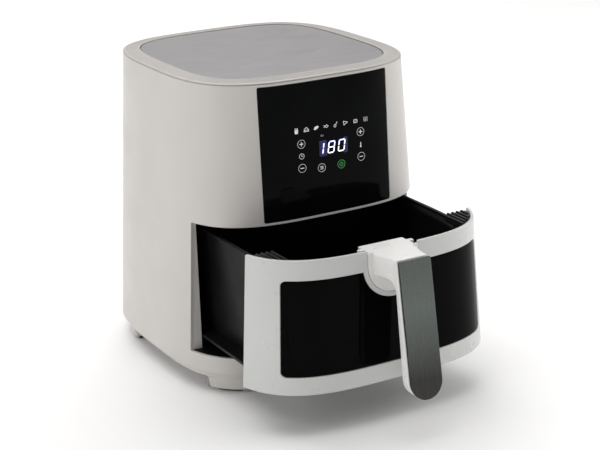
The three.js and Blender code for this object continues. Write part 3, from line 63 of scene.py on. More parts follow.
class Outline:
    """A superellipse that narrows with height. A place on it is its distance along the outline
    from the middle of the front, positive towards +X, at the height called level."""

    def __init__(self, power, half, front, back, centre_y, level):
        self.power, self.half, self.front, self.back = power, half, front, back
        self.centre_y = centre_y
        turn = np.linspace(0, pi, 2 * QUARTER + 1)
        self.across = np.abs(np.sin(turn)) ** (2 / power)
        self.along = -np.sign(np.cos(turn)) * np.abs(np.cos(turn)) ** (2 / power)
        x = self.across * half(level)
        y = self.along * np.where(self.along < 0, front(level), back(level))
        steps = np.hypot(np.diff(x), np.diff(y))
        self.place = np.concatenate([[0.0], np.cumsum(steps)])
        self.end = float(self.place[-1])

    def shifted(self, offset_y):
        other = copy.copy(self)
        other.centre_y += offset_y
        return other

    def at_x(self, x, z):
        """Place on the front where the outline passes x."""
        share = min(abs(x) / self.half(z), 1.0)
        return copysign(np.interp(share, self.across[FRONT], self.place[FRONT]), x)

    def at_y(self, y, z, side):
        """Place on one side's front half where the outline passes y, measured from its middle."""
        return side * float(np.interp(y / self.front(z), self.along[FRONT], self.place[FRONT]))

    def behind_x(self, x, z):
        """Place on the back where the outline passes x, counted on past the middle of the back."""
        share = min(abs(x) / self.half(z), 1.0)
        place = np.interp(share, self.across[BACK][::-1], self.place[BACK][::-1])
        return float(place) if x >= 0 else 2 * self.end - float(place)

    def surface(self, places, heights, out):
        """Points, normals, sideways tangents and upward tangents."""
        places, heights, out = np.broadcast_arrays(*(np.asarray(v, float) for v in (places, heights, out)))

        def loss(size):
            return (size(heights - 1.0) - size(heights + 1.0)) / 2.0

        turn = (places + self.end) % (2 * self.end) - self.end
        side = np.where(turn < 0, -1.0, 1.0)
        across = np.interp(np.abs(turn), self.place, self.across)
        along = np.interp(np.abs(turn), self.place, self.along)
        is_front = along < 0
        half = self.half(heights)
        depth = np.where(is_front, self.front(heights), self.back(heights))
        depth_loss = np.where(is_front, loss(self.front), loss(self.back))
        n = self.power
        gx = side * across ** (n - 1) / half
        gy = np.sign(along) * np.abs(along) ** (n - 1) / depth
        gz = across**n * loss(self.half) / half + np.abs(along) ** n * depth_loss / depth
        flat = np.hypot(gx, gy)
        level = np.stack([gx / flat, gy / flat, np.zeros_like(gx)], -1)
        normal = np.stack([gx, gy, gz], -1)
        normal /= np.linalg.norm(normal, axis=-1, keepdims=True)
        tangent = np.stack([-level[:, 1], level[:, 0], np.zeros_like(gx)], -1)
        up = np.cross(normal, tangent)
        point = np.stack([side * across * half, along * depth + self.centre_y, heights], -1)
        return point + level * out[:, None], normal, tangent, up


GAP = 0.3  # between neighbouring pieces
BODY_POWER, PAN_POWER = 3.45, 4.5
PLACE_LEVEL = 110
# The body's outline carried down to the floor, and what it loses with each millimetre of height.
FLOOR_HALF, FLOOR_FRONT, FLOOR_BACK = 145.7, 144.7, 163.0
SIDE_DRAFT, FRONT_DRAFT, PAN_DRAFT = 0.0597, 0.0326, 0.035
PAN_LIP = 3.0


def body_half(z):
    return FLOOR_HALF - SIDE_DRAFT * z


def body_front(z):
    return FLOOR_FRONT - FRONT_DRAFT * z


def body_back(z):
    return FLOOR_BACK - SIDE_DRAFT * z


def low(node):
    return [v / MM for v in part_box(node)[0]]


def high(node):
    return [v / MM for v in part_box(node)[1]]


def span(node, axis=2):
    return low(node)[axis], high(node)[axis]


SHELL_BOTTOM, SHELL_TOP = span("outer_shell")
MIDDLE = low("outer_shell")[1] + body_front(SHELL_BOTTOM)
DRAWER_BOTTOM, DRAWER_TOP = span("drawer_front")
DRAWER_OUT = MIDDLE - body_front(DRAWER_BOTTOM) - low("drawer_front")[1]
OPENING_BOTTOM, OPENING_TOP = DRAWER_BOTTOM - 0.5, DRAWER_TOP + 0.5
EAR = high("drawer_front")[1] + DRAWER_OUT - MIDDLE + GAP
PANEL_BOTTOM, PANEL_TOP = span("control_glass")
PANEL_HALF = high("control_glass")[0]
BODY = Outline(BODY_POWER, body_half, body_front, body_back, MIDDLE, PLACE_LEVEL)
DRAWER = BODY.shifted(-DRAWER_OUT)

PAN_FLOOR, PAN_RIM = span("pan")
PAN_FRONT, PAN_BACK = span("pan", 1)
PAN_HALF = high("pan")[0] - PAN_LIP
PAN_DEPTH = (PAN_BACK - PAN_FRONT) / 2 - PAN_LIP
PAN_MIDDLE = (PAN_BACK + PAN_FRONT) / 2


def pan_half(z):
    return PAN_HALF - PAN_DRAFT * (PAN_RIM - z)


def pan_depth(z):
    return PAN_DEPTH - PAN_DRAFT * (PAN_RIM - z)


PAN = Outline(PAN_POWER, pan_half, pan_depth, pan_depth, PAN_MIDDLE, PLACE_LEVEL)


# ---- Drawing in the flat ----


def arc(x, z, radius, start, stop, steps=8):
    """Points of an arc; angles in degrees."""
    angles = np.radians(np.linspace(start, stop, steps + 1))
    return [(x + radius * cos(a), z + radius * sin(a)) for a in angles]


def rounded(x0, x1, z0, z1, radius, steps=6):
    return [
        *arc(x0 + radius, z0 + radius, radius, 180, 270, steps),
        *arc(x1 - radius, z0 + radius, radius, 270, 360, steps),
        *arc(x1 - radius, z1 - radius, radius, 0, 90, steps),
        *arc(x0 + radius, z1 - radius, radius, 90, 180, steps),
    ]


def circle(x, z, radius, steps=24):
    return arc(x, z, radius, 0, 360, steps)[:-1]


def dense(loop, step=4.0):
    """The closed loop with its long edges divided."""
    points = []
    for (x0, z0), (x1, z1) in zip(loop, loop[1:] + loop[:1]):
        count = max(1, ceil(hypot(x1 - x0, z1 - z0) / step))
        points += [(x0 + (x1 - x0) * i / count, z0 + (z1 - z0) * i / count) for i in range(count)]
    return points


def softened(corners, radii, steps=5):
    """Closed loop of straight edges with rounded corners."""
    points = []
    count = len(corners)
    for i, radius in enumerate(radii):
        here = Vector(corners[i])
        before = (Vector(corners[i - 1]) - here).normalized()
        after = (Vector(corners[(i + 1) % count]) - here).normalized()
        if radius <= 0:
            points.append(tuple(here))
            continue
        angle = before.angle(after)
        reach = radius / tan(angle / 2)
        start, stop = here + before * reach, here + after * reach
        for j in range(steps + 1):
            t = j / steps
            a = start.lerp(here, t)
            b = here.lerp(stop, t)
            points.append(tuple(a.lerp(b, t)))
    return points


def area(loop):
    x, y = np.array(loop).T
    return 0.5 * float(np.sum(x * np.roll(y, -1) - y * np.roll(x, -1)))


def inward(loop, pinned):
    """For each corner of a loop with the material on its left, the way into the material."""
    p = np.array(loop, float)
    d = np.roll(p, -1, 0) - p
    d /= np.linalg.norm(d, axis=1, keepdims=True)
    left = np.stack([-d[:, 1], d[:, 0]], 1)
    before = np.roll(left, 1, 0)
    share = 1 + np.sum(left * before, 1, keepdims=True)
    way = (left + before) / np.maximum(share, 0.25)
    if pinned is not None:
        fixed = pinned(p)
        way[fixed, 0] = 0.0
        way[fixed, 1] = np.clip(way[fixed, 1], -1, 1)
    return way


def inside(points, loops):
    """Which points lie in the material, by the even-odd rule."""
    x, y = points.T
    hit = np.zeros(len(points), bool)
    for loop in loops:
        p = np.array(loop)
        q = np.roll(p, -1, 0)
        for (x0, y0), (x1, y1) in zip(p, q):
            if y0 == y1:
                continue
            crosses = (y0 > y) != (y1 > y)
            hit ^= crosses & (x < (x1 - x0) * (y - y0) / (y1 - y0) + x0)
    return hit


def slab(loops, thick, bevel=0.5, under=0.0, grid=None, pinned=None, rounds=3):
    """Flat slab with holes: its top is at w = 0 and its underside at w = -thick. The first loop
    is the outside. Edges are rounded by bevel above and by under below. Returns corners
    (u, v, w), their normals and the faces."""
    loops = [dense(loop) if grid else list(loop) for loop in loops]
    loops = [loop if (area(loop) > 0) == (i == 0) else loop[::-1] for i, loop in enumerate(loops)]
    ways = [inward(loop, pinned) for loop in loops]
    turns = [pi / 2 * i / rounds for i in range(rounds + 1)]
    rings = [(bevel * (1 - sin(a)), -bevel * (1 - cos(a)), cos(a), sin(a)) for a in turns]
    if under > 0:
        rings += [(under * (1 - cos(a)), -thick + under * (1 - sin(a)), -sin(a), cos(a))
                  for a in turns]
    else:
        rings.append((0.0, -thick, 0.0, 1.0))
    corners, normals, faces, starts = [], [], [], []
    for loop, way in zip(loops, ways):
        p = np.array(loop)
        outward = -way / np.maximum(np.linalg.norm(way, axis=1, keepdims=True), 1e-9)
        starts.append([])
        for inset, w, up, side in rings:
            starts[-1].append(len(corners))
            q = p + way * inset
            corners += [(a, b, w) for a, b in q]
            normals += [(a * side, b * side, up) for a, b in outward]
        count = len(loop)
        for ring in range(len(rings) - 1):
            a, b = starts[-1][ring], starts[-1][ring + 1]
            for i in range(count):
                j = (i + 1) % count
                faces.append((a + i, b + i, b + j, a + j))
    for top in (True, False):
        ring = 0 if top else -1
        flat = [np.array([c[:2] for c in corners[s[ring]:s[ring] + len(loop)]])
                for s, loop in zip(starts, loops)]
        points = np.concatenate(flat)
        edges, index, first = [], [], 0
        for s, loop in zip(starts, loops):
            edges += [(first + i, first + (i + 1) % len(loop)) for i in range(len(loop))]
            index += [s[ring] + i for i in range(len(loop))]
            first += len(loop)
        if grid:
            low_uv, high_uv = points.min(0), points.max(0)
            us = np.arange(low_uv[0] + grid[0] / 2, high_uv[0], grid[0])
            vs = np.arange(low_uv[1] + grid[1] / 2, high_uv[1], grid[1])
            mesh = np.stack(np.meshgrid(us, vs), -1).reshape(-1, 2)
            mesh = mesh[inside(mesh, flat)]
            if len(mesh):
                points = np.concatenate([points, mesh])
        out = delaunay_2d_cdt([Vector(p) for p in points], edges, [], 0, 1e-5, True)
        new_points, _, triangles, origins = out[:4]
        w, up = (0.0, 1.0) if top else (-thick, -1.0)
        number = []
        for i, point in enumerate(new_points):
            source = [o for o in origins[i] if o < len(index)]
            if source:
                number.append(index[source[0]])
            else:
                number.append(len(corners))
                corners.append((point.x, point.y, w))
                normals.append((0.0, 0.0, up))
        centres = np.array([[sum(new_points[k].x for k in t) / 3, sum(new_points[k].y for k in t) / 3]
                            for t in triangles])
        for t, keep in zip(triangles, inside(centres, flat)):
            if keep:
                f = [number[i] for i in t]
                faces.append(tuple(f) if top else tuple(f[::-1]))
        if (bevel if top else under) > 0:
            for i in index:
                normals[i] = (0.0, 0.0, up)
    return np.array(corners, float), np.array(normals, float), faces


# ---- Making pieces ----


def added(name, data):
    obj = bpy.data.objects.new(name, data)
    bpy.context.scene.collection.objects.link(obj)
    return obj


def piece(name, points, faces, material, body, normals=None, replaces=(), uv=None):
    """A mesh in millimetres as a Blender object that rides on a body."""
    mesh = bpy.data.meshes.new(name)
    mesh.from_pydata((np.asarray(points) * MM).tolist(), [], [tuple(int(i) for i in f) for f in faces])
    if uv is not None:
        layer = mesh.uv_layers.new(name="along")
        for loop in mesh.loops:
            layer.data[loop.index].uv = uv[loop.vertex_index]
    mesh.validate()
    mesh.shade_smooth()
    if normals is not None and len(mesh.vertices) == len(normals):
        length = np.linalg.norm(normals, axis=1, keepdims=True)
        mesh.normals_split_custom_set_from_vertices((normals / np.maximum(length, 1e-9)).tolist())
    obj = added(name, mesh)
    mesh.materials.append(material)
    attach(obj, body)
    if replaces:
        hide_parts(*replaces)
    return obj


def wrapped(name, outline, loops, thick, material, body, out=0.0, bevel=0.5, under=0.0,
            grid=(6.0, 14.0), pinned=None, straight=None, **facts):
    """A slab bent around an outline. straight(u, v, w, points) may move the corners after."""
    flat, tilt, faces = slab(loops, thick, bevel, under, grid, pinned)
    points, normal, tangent, up = outline.surface(flat[:, 0], flat[:, 1], flat[:, 2] + out)
    if straight is not None:
        straight(flat, points)
    normals = tangent * tilt[:, :1] + up * tilt[:, 1:2] + normal * tilt[:, 2:]
    return piece(name, points, faces, material, body, normals, **facts)


def laid(name, loops, top, thick, material, body, bevel=0.5, under=0.0, centre=(0.0, 0.0),
         **facts):
    """A flat slab lying level, its top at a height."""
    flat, tilt, faces = slab(loops, thick, bevel, under)
    points = flat + np.array([centre[0], centre[1], top])
    return piece(name, points, faces, material, body, tilt, **facts)


def banded(name, outline, profile, material, body, count=260, sharp=35, **facts):
    """A profile of (out, height) swept all the way around an outline."""
    places = np.linspace(-outline.end, outline.end, count, endpoint=False)
    points, uv = [], []
    for out, z in profile:
        ring = outline.surface(places, z, out)[0]
        points += ring.tolist()
        uv += [(p * MM, out * MM) for p in places]
    faces = []
    levels = len(profile)
    for i in range(levels):
        a, b = i * count, ((i + 1) % levels) * count
        for j in range(count):
            k = (j + 1) % count
            faces.append((a + j, a + k, b + k, b + j))
    obj = piece(name, points, faces, material, body, uv=uv, **facts)
    obj.data.set_sharp_from_angle(angle=radians(sharp))
    weigh(obj)
    return obj


def weigh(obj):
    modifier = obj.modifiers.new("weighted", "WEIGHTED_NORMAL")
    modifier.keep_sharp = True


def outline_loop(outline, z, out, start=None, stop=None, count=160):
    """Points in plan along an outline, all the way around or from one place to another."""
    if start is None:
        places = np.linspace(-outline.end, outline.end, count, endpoint=False)
    else:
        places = np.linspace(start, stop, count)
    return [(x, y) for x, y, _ in outline.surface(places, z, out)[0]]


# ---- Materials ----


class Finish:
    """Builds one node material around a Principled shader."""

    def __init__(self, name):
        self.material = bpy.data.materials.new(name)
        self.material.use_nodes = True
        self.tree = self.material.node_tree
        self.shader = self.tree.nodes["Principled BSDF"]
        self.coords = self.tree.nodes.new("ShaderNodeTexCoord")

    def node(self, kind, **inputs):
        made = self.tree.nodes.new(kind)
        for key, value in inputs.items():
            if key in made.inputs:
                made.inputs[key].default_value = value
            else:
                setattr(made, key, value)
        return made

    def link(self, source, target):
        self.tree.links.new(source, target)

    def set(self, **values):
        for key, value in values.items():
            self.shader.inputs[key.replace("_", " ")].default_value = value
        return self

    def noise(self, scale, detail=3.0, stretch=(1, 1, 1), rough=0.5):
        mapping = self.node("ShaderNodeMapping", Scale=stretch)
        self.link(self.coords.outputs["Object"], mapping.inputs["Vector"])
        made = self.node("ShaderNodeTexNoise", Scale=scale, Detail=detail, Roughness=rough)
        self.link(mapping.outputs["Vector"], made.inputs["Vector"])
        return made.outputs["Fac"]

    def ramp(self, source, low, high, start=0.35, stop=0.65):
        made = self.node("ShaderNodeMapRange")
        for key, value in (("From Min", start), ("From Max", stop), ("To Min", low), ("To Max", high)):
            made.inputs[key].default_value = value
        self.link(source, made.inputs["Value"])
        return made.outputs["Result"]

    def colours(self, source, first, second, start=0.35, stop=0.65):
        made = self.node("ShaderNodeValToRGB")
        ramp = made.color_ramp
        ramp.elements[0].position, ramp.elements[1].position = start, stop
        ramp.elements[0].color = (*first, 1)
        ramp.elements[1].color = (*second, 1)
        self.link(source, made.inputs["Fac"])
        self.link(made.outputs["Color"], self.shader.inputs["Base Color"])
        return made.outputs["Color"]

    def roughness(self, source, low, high):
        self.link(self.ramp(source, low, high), self.shader.inputs["Roughness"])

    def bump(self, source, depth_mm, strength=1.0, before=None):
        made = self.node("ShaderNodeBump", Strength=strength)
        made.inputs["Distance"].default_value = depth_mm * MM
        self.link(source, made.inputs["Height"])
        if before is not None:
            self.link(before, made.inputs["Normal"])
        self.link(made.outputs["Normal"], self.shader.inputs["Normal"])
        return made.outputs["Normal"]


def shade(colour, factor):
    return tuple(min(1.0, c * factor) for c in colour)


def plain(name, colour, tones, rough, *bumps, **facts):
    """A finish made of noises. tones is a noise, the darkest and the lightest share of the
    colour; rough is a noise and two roughnesses; each bump is a noise, a depth in millimetres
    and a strength, the finest last."""
    f = Finish(name).set(**facts)
    f.colours(f.noise(*tones[0]), shade(colour, tones[1]), shade(colour, tones[2]), *tones[3:])
    f.roughness(f.noise(*rough[0]), *rough[1:])
    before = None
    for noise, depth, strength in bumps:
        before = f.bump(f.noise(*noise), depth, strength, before)
    return f.material


def moulded(name, colour, rough=(0.34, 0.46), grain=700, depth=0.02, vary=0.03, **facts):
    """Moulded plastic: a fine skin grain over slow sink and colour variation."""
    return plain(name, colour, ((6, 4), 1 - vary, 1 + vary), ((35, 5), *rough),
                 ((9, 2), 0.12, 0.25), ((grain, 2), depth, 0.6), **facts)


KNURL = 420  # knurls in a metre


def knurled(name, colour):
    """The rim's plastic, with a fine crossed pattern pressed along it."""
    f = Finish(name)
    f.colours(f.noise(6, 4), shade(colour, 0.97), shade(colour, 1.03))
    f.roughness(f.noise(40, 4), 0.36, 0.5)
    spots = f.node("ShaderNodeTexVoronoi", Scale=1.0, Randomness=0.0)
    turned = f.node("ShaderNodeMapping", Rotation=(0, 0, radians(45)), Scale=(KNURL,) * 3)
    f.link(f.coords.outputs["UV"], turned.inputs["Vector"])
    f.link(turned.outputs["Vector"], spots.inputs["Vector"])
    grain = f.bump(f.noise(700, 2), 0.02, 0.5)
    f.bump(spots.outputs["Distance"], 0.5, 0.8, grain)
    return f.material


def smoked(name):
    """Dark tinted glass: a glossy face that lets a little light through."""
    f = Finish(name).set(Base_Color=(0.0022, 0.0018, 0.0018, 1), IOR=1.5, Specular_IOR_Level=0.06)
    f.roughness(f.noise(50, 4), 0.015, 0.05)
    f.bump(f.noise(12, 2), 0.06, 0.2)
    clear = f.node("ShaderNodeBsdfTransparent", Color=(0.20, 0.16, 0.155, 1))
    fresnel = f.node("ShaderNodeFresnel", IOR=1.5)
    share = f.ramp(fresnel.outputs["Fac"], 0.55, 1.0, 0.03, 0.6)
    mix = f.node("ShaderNodeMixShader")
    f.link(share, mix.inputs["Fac"])
    f.link(clear.outputs["BSDF"], mix.inputs[1])
    f.link(f.shader.outputs["BSDF"], mix.inputs[2])
    f.link(mix.outputs["Shader"], f.tree.nodes["Material Output"].inputs["Surface"])
    return f.material


def metal(name, colour, rough=(0.22, 0.36)):
    """Drawn metal, with streaks across one axis."""
    streaks = (1, 1, 40)
    return plain(name, colour, ((60, 6, streaks, 0.6), 0.9, 1.1), ((90, 5, streaks), *rough),
                 ((180, 4, streaks), 0.01, 0.5), Metallic=1.0)


def shaded_handle_metal(name, top, foot, low_z, high_z):
    """Dark polished sheet, drawn along its length, with painted shade that makes it darker towards its lower
    end: the colour runs from foot at low_z up to top at high_z.
    """
    f = Finish(name).set(Metallic=0.85)
    split = f.node("ShaderNodeSeparateXYZ")
    f.link(f.coords.outputs["Object"], split.inputs["Vector"])
    height = f.ramp(split.outputs["Z"], 0, 1, low_z * MM, high_z * MM)
    streak = f.ramp(f.noise(70, 6, (12, 1, 0.6)), -0.035, 0.035)
    total = f.node("ShaderNodeMath", operation="ADD")
    f.link(height, total.inputs[0])
    f.link(streak, total.inputs[1])
    # foot is painted shade over the plate's lower end, not a colour of the sheet itself.
    f.colours(total.outputs["Value"], foot, top, 0.0, 1.0)
    f.roughness(f.noise(90, 5, (14, 1, 0.6)), 0.24, 0.34)
    f.bump(f.noise(160, 4, (14, 1, 0.5)), 0.008, 0.5)
    return f.material


def rubber(name, colour):
    return plain(name, colour, ((80, 4), 0.8, 1.3), ((60, 3), 0.7, 0.85), ((900, 2), 0.04, 0.6),
                 Specular_IOR_Level=0.3)


def glowing(name, colour, strength):
    f = Finish(name).set(Roughness=0.4, Emission_Strength=strength)
    tint = f.colours(f.noise(300, 2), shade(colour, 0.94), colour)
    f.link(tint, f.shader.inputs["Emission Color"])
    return f.material


CREAM = moulded("shell_plastic", (0.57, 0.55, 0.525))
RIM = knurled("rim_plastic", (0.41, 0.39, 0.371))
WHITE = moulded("drawer_plastic", (0.58, 0.583, 0.57), rough=(0.26, 0.36), grain=900, depth=0.012)
HANDLE = moulded("handle_plastic", (0.80, 0.795, 0.78), rough=(0.24, 0.34), grain=900, depth=0.01)
BLACK = moulded("black_plastic", (0.009, 0.009, 0.010), rough=(0.3, 0.42), vary=0.25,
                Specular_IOR_Level=0.4)
PALE = moulded("pale_plastic", (0.72, 0.72, 0.70))
GLOSS = plain("panel_gloss", (0.0022, 0.0025, 0.0027), ((20, 3), 0.8, 1.3), ((60, 5), 0.02, 0.06),
              ((14, 2), 0.05, 0.2), Specular_IOR_Level=0.045, IOR=1.5)
SMOKED = smoked("smoked_glass")
# The top plate: satin paint over finely brushed sheet.
PLATE = plain("top_plate_finish", (0.295, 0.285, 0.292), ((18, 8, (0.6, 14, 1), 0.65), 0.93, 1.07, 0.3, 0.7),
              ((40, 5, (0.5, 10, 1)), 0.3, 0.42), ((90, 5, (0.4, 12, 1)), 0.02, 0.5),
              ((900, 2), 0.008, 0.4), Metallic=0.35)
# Non-stick coating: near black, semi-gloss, with a fine orange peel.
COATING = plain("non_stick", (0.006, 0.006, 0.0063), ((30, 4), 0.8, 1.4), ((25, 5), 0.3, 0.42),
                ((300, 3), 0.03, 0.5), ((1500, 1), 0.006, 0.4), Specular_IOR_Level=0.08)
STEEL = metal("steel_sheet", (0.5, 0.51, 0.51))
ELEMENT = metal("element_sheath", (0.20, 0.11, 0.08), rough=(0.4, 0.55))
DARK_METAL = metal("motor_can", (0.18, 0.19, 0.19))
RUBBER = rubber("rubber", (0.016, 0.016, 0.016))
SILICONE = rubber("silicone", (0.035, 0.035, 0.035))
BOARD = moulded("solder_mask", (0.02, 0.12, 0.05), rough=(0.2, 0.35))
# The handle plate's dark foot colour is painted shade over its lower end.
SHADED_HANDLE_PLATE = shaded_handle_metal("handle_plate_painted_shade", (0.165, 0.186, 0.175), (0.045, 0.044, 0.042), 60, 130)
DIGIT = glowing("digit_light", (0.58, 0.62, 1.0), 1.9)
FIELD = glowing("display_field", (0.006, 0.007, 0.05), 0.6)
MARK = glowing("panel_print", (0.60, 0.61, 0.60), 0.42)
FAINT = glowing("panel_print_faint", (0.30, 0.29, 0.27), 0.25)
MARK_GREEN = glowing("panel_green", (0.07, 0.42, 0.10), 0.45)

SLOT_FINISH = {
    "shell_cream": CREAM,
    "handle_white": HANDLE,
    "top_grey": PLATE,
    "panel_black": GLOSS,
    "plastic_black": BLACK,
    "plastic_white": PALE,
    "board_green": BOARD,
    "rubber_black": RUBBER,
    "silicone_grey": SILICONE,
    "steel": STEEL,
    "steel_dark": DARK_METAL,
    "coated_black": COATING,
    "element": ELEMENT,
    "smoked_glass": SMOKED,
}
SLOT_OF = {finish.name: slot for slot, finish in SLOT_FINISH.items()}
SLOT_OF |= {finish.name: "shell_cream" for finish in (RIM, WHITE)}
SLOT_OF |= {finish.name: "panel_black" for finish in (DIGIT, FIELD, MARK, FAINT, MARK_GREEN)}
SLOT_OF[SHADED_HANDLE_PLATE.name] = "steel_dark"


def softener():
    """Geometry nodes that shade a CAD node smoothly, but for its sharp edges."""
    group = bpy.data.node_groups.new("soften", "GeometryNodeTree")
    group.interface.new_socket("Geometry", in_out="INPUT", socket_type="NodeSocketGeometry")
    group.interface.new_socket("Geometry", in_out="OUTPUT", socket_type="NodeSocketGeometry")
    new, link = group.nodes.new, group.links.new
    start, stop = new("NodeGroupInput"), new("NodeGroupOutput")
    angle = new("GeometryNodeInputMeshEdgeAngle")
    gentle = new("FunctionNodeCompare")
    gentle.operation = "LESS_THAN"
    gentle.inputs[1].default_value = radians(33)
    faces, edges = new("GeometryNodeSetShadeSmooth"), new("GeometryNodeSetShadeSmooth")
    edges.domain = "EDGE"
    link(start.outputs[0], faces.inputs["Geometry"])
    link(angle.outputs["Unsigned Angle"], gentle.inputs[0])
    link(faces.outputs["Geometry"], edges.inputs["Geometry"])
    link(gentle.outputs[0], edges.inputs["Shade Smooth"])
    link(edges.outputs["Geometry"], stop.inputs[0])
    return group


SOFTEN = softener()
for part in frame["record"]["subparts"]:
    node = frame["nodes"][part["node"]]
    node.material_slots[0].material = SLOT_FINISH[part["material_slot"]]
    edge = node.modifiers.new("edge", "BEVEL")
    edge.width = 0.25 * MM
    edge.segments = 2
    edge.limit_method = "ANGLE"
    edge.angle_limit = radians(40)
    soften = node.modifiers.new("soften", "NODES")
    soften.node_group = SOFTEN


# ---- Body ----

REAR_HALF = high("rear_cover")[0]
REAR_LOW, REAR_HIGH = span("rear_cover")
SEAM = BODY.end
CAVITY_HALF = high("cavity_liner")[0] - 1.5
LEDGE = 2.4


def on_front(outline, points):
    """Points in x and height as places on the front."""
    return [(float(outline.at_x(x, z)), z) for x, z in points]


def on_back(points):
    return [(BODY.behind_x(x, z), z) for x, z in points]


def sided(points, sign):
    return [(sign * u, v) for u, v in points][::sign]


def mirrored(points):
    return sided(points, -1)


def at_seam(outline):
    """Tells which corners lie where an outline's two ends meet."""
    return lambda points: np.abs(np.abs(points[:, 0]) - outline.end) < 0.01


def front_band(outline, ear, foot, head, radius):
    """What lies in front of a line across an outline, between two heights."""
    ends = [outline.at_y(ear, z, 1) for z in (foot, head)]
    return softened([(-ends[0], foot), (ends[0], foot), (ends[1], head), (-ends[1], head)], [radius] * 4)


def panel_shape(grow):
    return on_front(BODY, dense(rounded(-PANEL_HALF - grow, PANEL_HALF + grow, PANEL_BOTTOM - grow,
                                        PANEL_TOP + grow, 1.5 + grow)))


def shell_loops():
    z0, z1, z2, z3 = SHELL_BOTTOM, REAR_LOW - GAP, REAR_HIGH + GAP, SHELL_TOP
    edge_low = BODY.behind_x(REAR_HALF + GAP, z1)
    edge_high = BODY.behind_x(REAR_HALF + GAP, z2)
    right = [(SEAM, z0), (SEAM, z1), (edge_low, z1), (edge_high, z2), (SEAM, z2), (SEAM, z3)]
    outside = softened([(-SEAM, z0), *right, *mirrored(right)[:-1]], [0, 0, 0, 2, 2, 0, 0, 0, 0, 2, 2, 0])
    return [outside, front_band(BODY, EAR, OPENING_BOTTOM, OPENING_TOP, 1.5), panel_shape(GAP)]


def square_ears(outline, ear):
    """Keeps the cut edges beside the drawer opening in one upright plane, but for their
    rounded corners and outer edges."""
    rounding, near = 1.5, 0.9

    def straight(flat, points):
        for i, (u, v, w) in enumerate(flat):
            beside = w <= -0.5 and OPENING_BOTTOM + rounding < v < OPENING_TOP - rounding
            if beside and abs(abs(u) - outline.at_y(ear, v, 1)) < near:
                points[i][1] = outline.centre_y + ear
    return straight


wrapped("body_shell", BODY, shell_loops(), 3.0, CREAM, "body", bevel=0.6, pinned=at_seam(BODY),
        straight=square_ears(BODY, EAR), replaces=["outer_shell"])


def upright(name, loops, y, thick, material, body, bevel=0.3, under=0.0, **facts):
    """A slab standing across the body, facing the front."""
    flat, tilt, faces = slab(loops, thick, bevel, under)
    points = np.stack([flat[:, 0], y - flat[:, 2], flat[:, 1]], 1)
    normals = np.stack([tilt[:, 0], -tilt[:, 2], tilt[:, 1]], 1)
    return piece(name, points, faces, material, body, normals, **facts)


def surface_x(outline, y, z, out):
    return float(outline.surface([outline.at_y(y, z, 1)], z, out)[0][0][0])


def jambs():
    foot, head, behind = OPENING_BOTTOM, OPENING_TOP, 0.5
    for side, sign in (("left", -1), ("right", 1)):
        edge = [surface_x(BODY, EAR, z, -2.4) for z in (foot, head)]
        loop = [(CAVITY_HALF, foot - 1), (edge[0], foot - 1), (edge[1], head + 1), (CAVITY_HALF, head + 1)]
        upright(f"jamb_{side}", [[(sign * x, z) for x, z in loop]], MIDDLE + EAR + behind, 2.4, CREAM, "body")


def opening_plates():
    for name, top, z in (("sill", OPENING_BOTTOM - 0.05, OPENING_BOTTOM),
                         ("soffit", OPENING_TOP + LEDGE, OPENING_TOP)):
        ear = BODY.at_y(EAR + LEDGE, z, 1)
        loop = outline_loop(BODY, z, -2.2, -ear, ear, 120)
        laid(name, [loop], top, LEDGE - 0.05, COATING, "body", bevel=0.3, under=0.3)


def rear_cover():
    loops = [on_back(dense(rounded(-REAR_HALF, REAR_HALF, REAR_LOW, REAR_HIGH, 3)))[::-1]]
    exhaust = low("heater_housing")[2] + 5
    intake = REAR_HIGH - 40
    for z in [exhaust + 7 * i for i in range(4)] + [intake + 7 * i for i in range(5)]:
        loops.append(on_back(dense(rounded(-50, 50, z, z + 3, 1.45, 4))))
    for x in (-REAR_HALF + 7, REAR_HALF - 7):
        for z in (REAR_LOW + 4.2, REAR_HIGH - 4.2):
            loops.append(on_back(circle(x, z, 3.5)))
    inlet_x, inlet_z = (sum(span("cord_inlet", axis)) / 2 for axis in (0, 2))
    loops.append(on_back(circle(inlet_x, inlet_z, 7.0)))
    wrapped("back_cover", BODY, loops, 2.5, CREAM, "body", bevel=0.4, replaces=["rear_cover"])


def rim():
    base, top = SHELL_TOP + GAP, high("top_rim")[2]
    seat = low("top_plate")[2] - GAP
    profile = [(0.0, base), (0.0, base + 0.5), (-0.15, base + 0.8), (-0.5, base + 1.05), (-1.2, base + 1.25)]
    edge, width, shoulder, groove_depth = 1.2, 18.0, 1.25, 0.32
    rise = top - base - shoulder
    grooves = [4.4, 7.0, 9.6, 12.2, 14.8]
    for inset in sorted({2.6, 17.4} | {g + d for g in grooves for d in (-0.6, -0.35, 0.35, 0.6)}):
        t = (inset - edge) / (width - edge)
        z = base + shoulder + rise * (1 - (1 - t) ** 1.6)
        if any(abs(inset - g) < 0.4 for g in grooves):
            z -= groove_depth
        profile.append((-inset, z))
    profile += [(-17.8, top - 0.12), (-width, top - 0.45), (-width, seat), (-24.0, seat),
                (-24.0, seat - 2), (-3.3, seat - 2), (-3.3, base)]
    banded("top_band", BODY, profile[::-1], RIM, "body", count=300, replaces=["top_rim"])
    face = high("top_plate")[2]
    laid("lid_plate", [outline_loop(BODY, face, -19.0, count=260)], face, 2.0, PLATE, "body", bevel=0.45,
         replaces=["top_plate"])


def panel():
    wrapped("touch_panel", BODY, [panel_shape(0)], 2.5, GLOSS, "body", bevel=0.35, grid=(5.0, 12.0),
            replaces=["control_glass"])


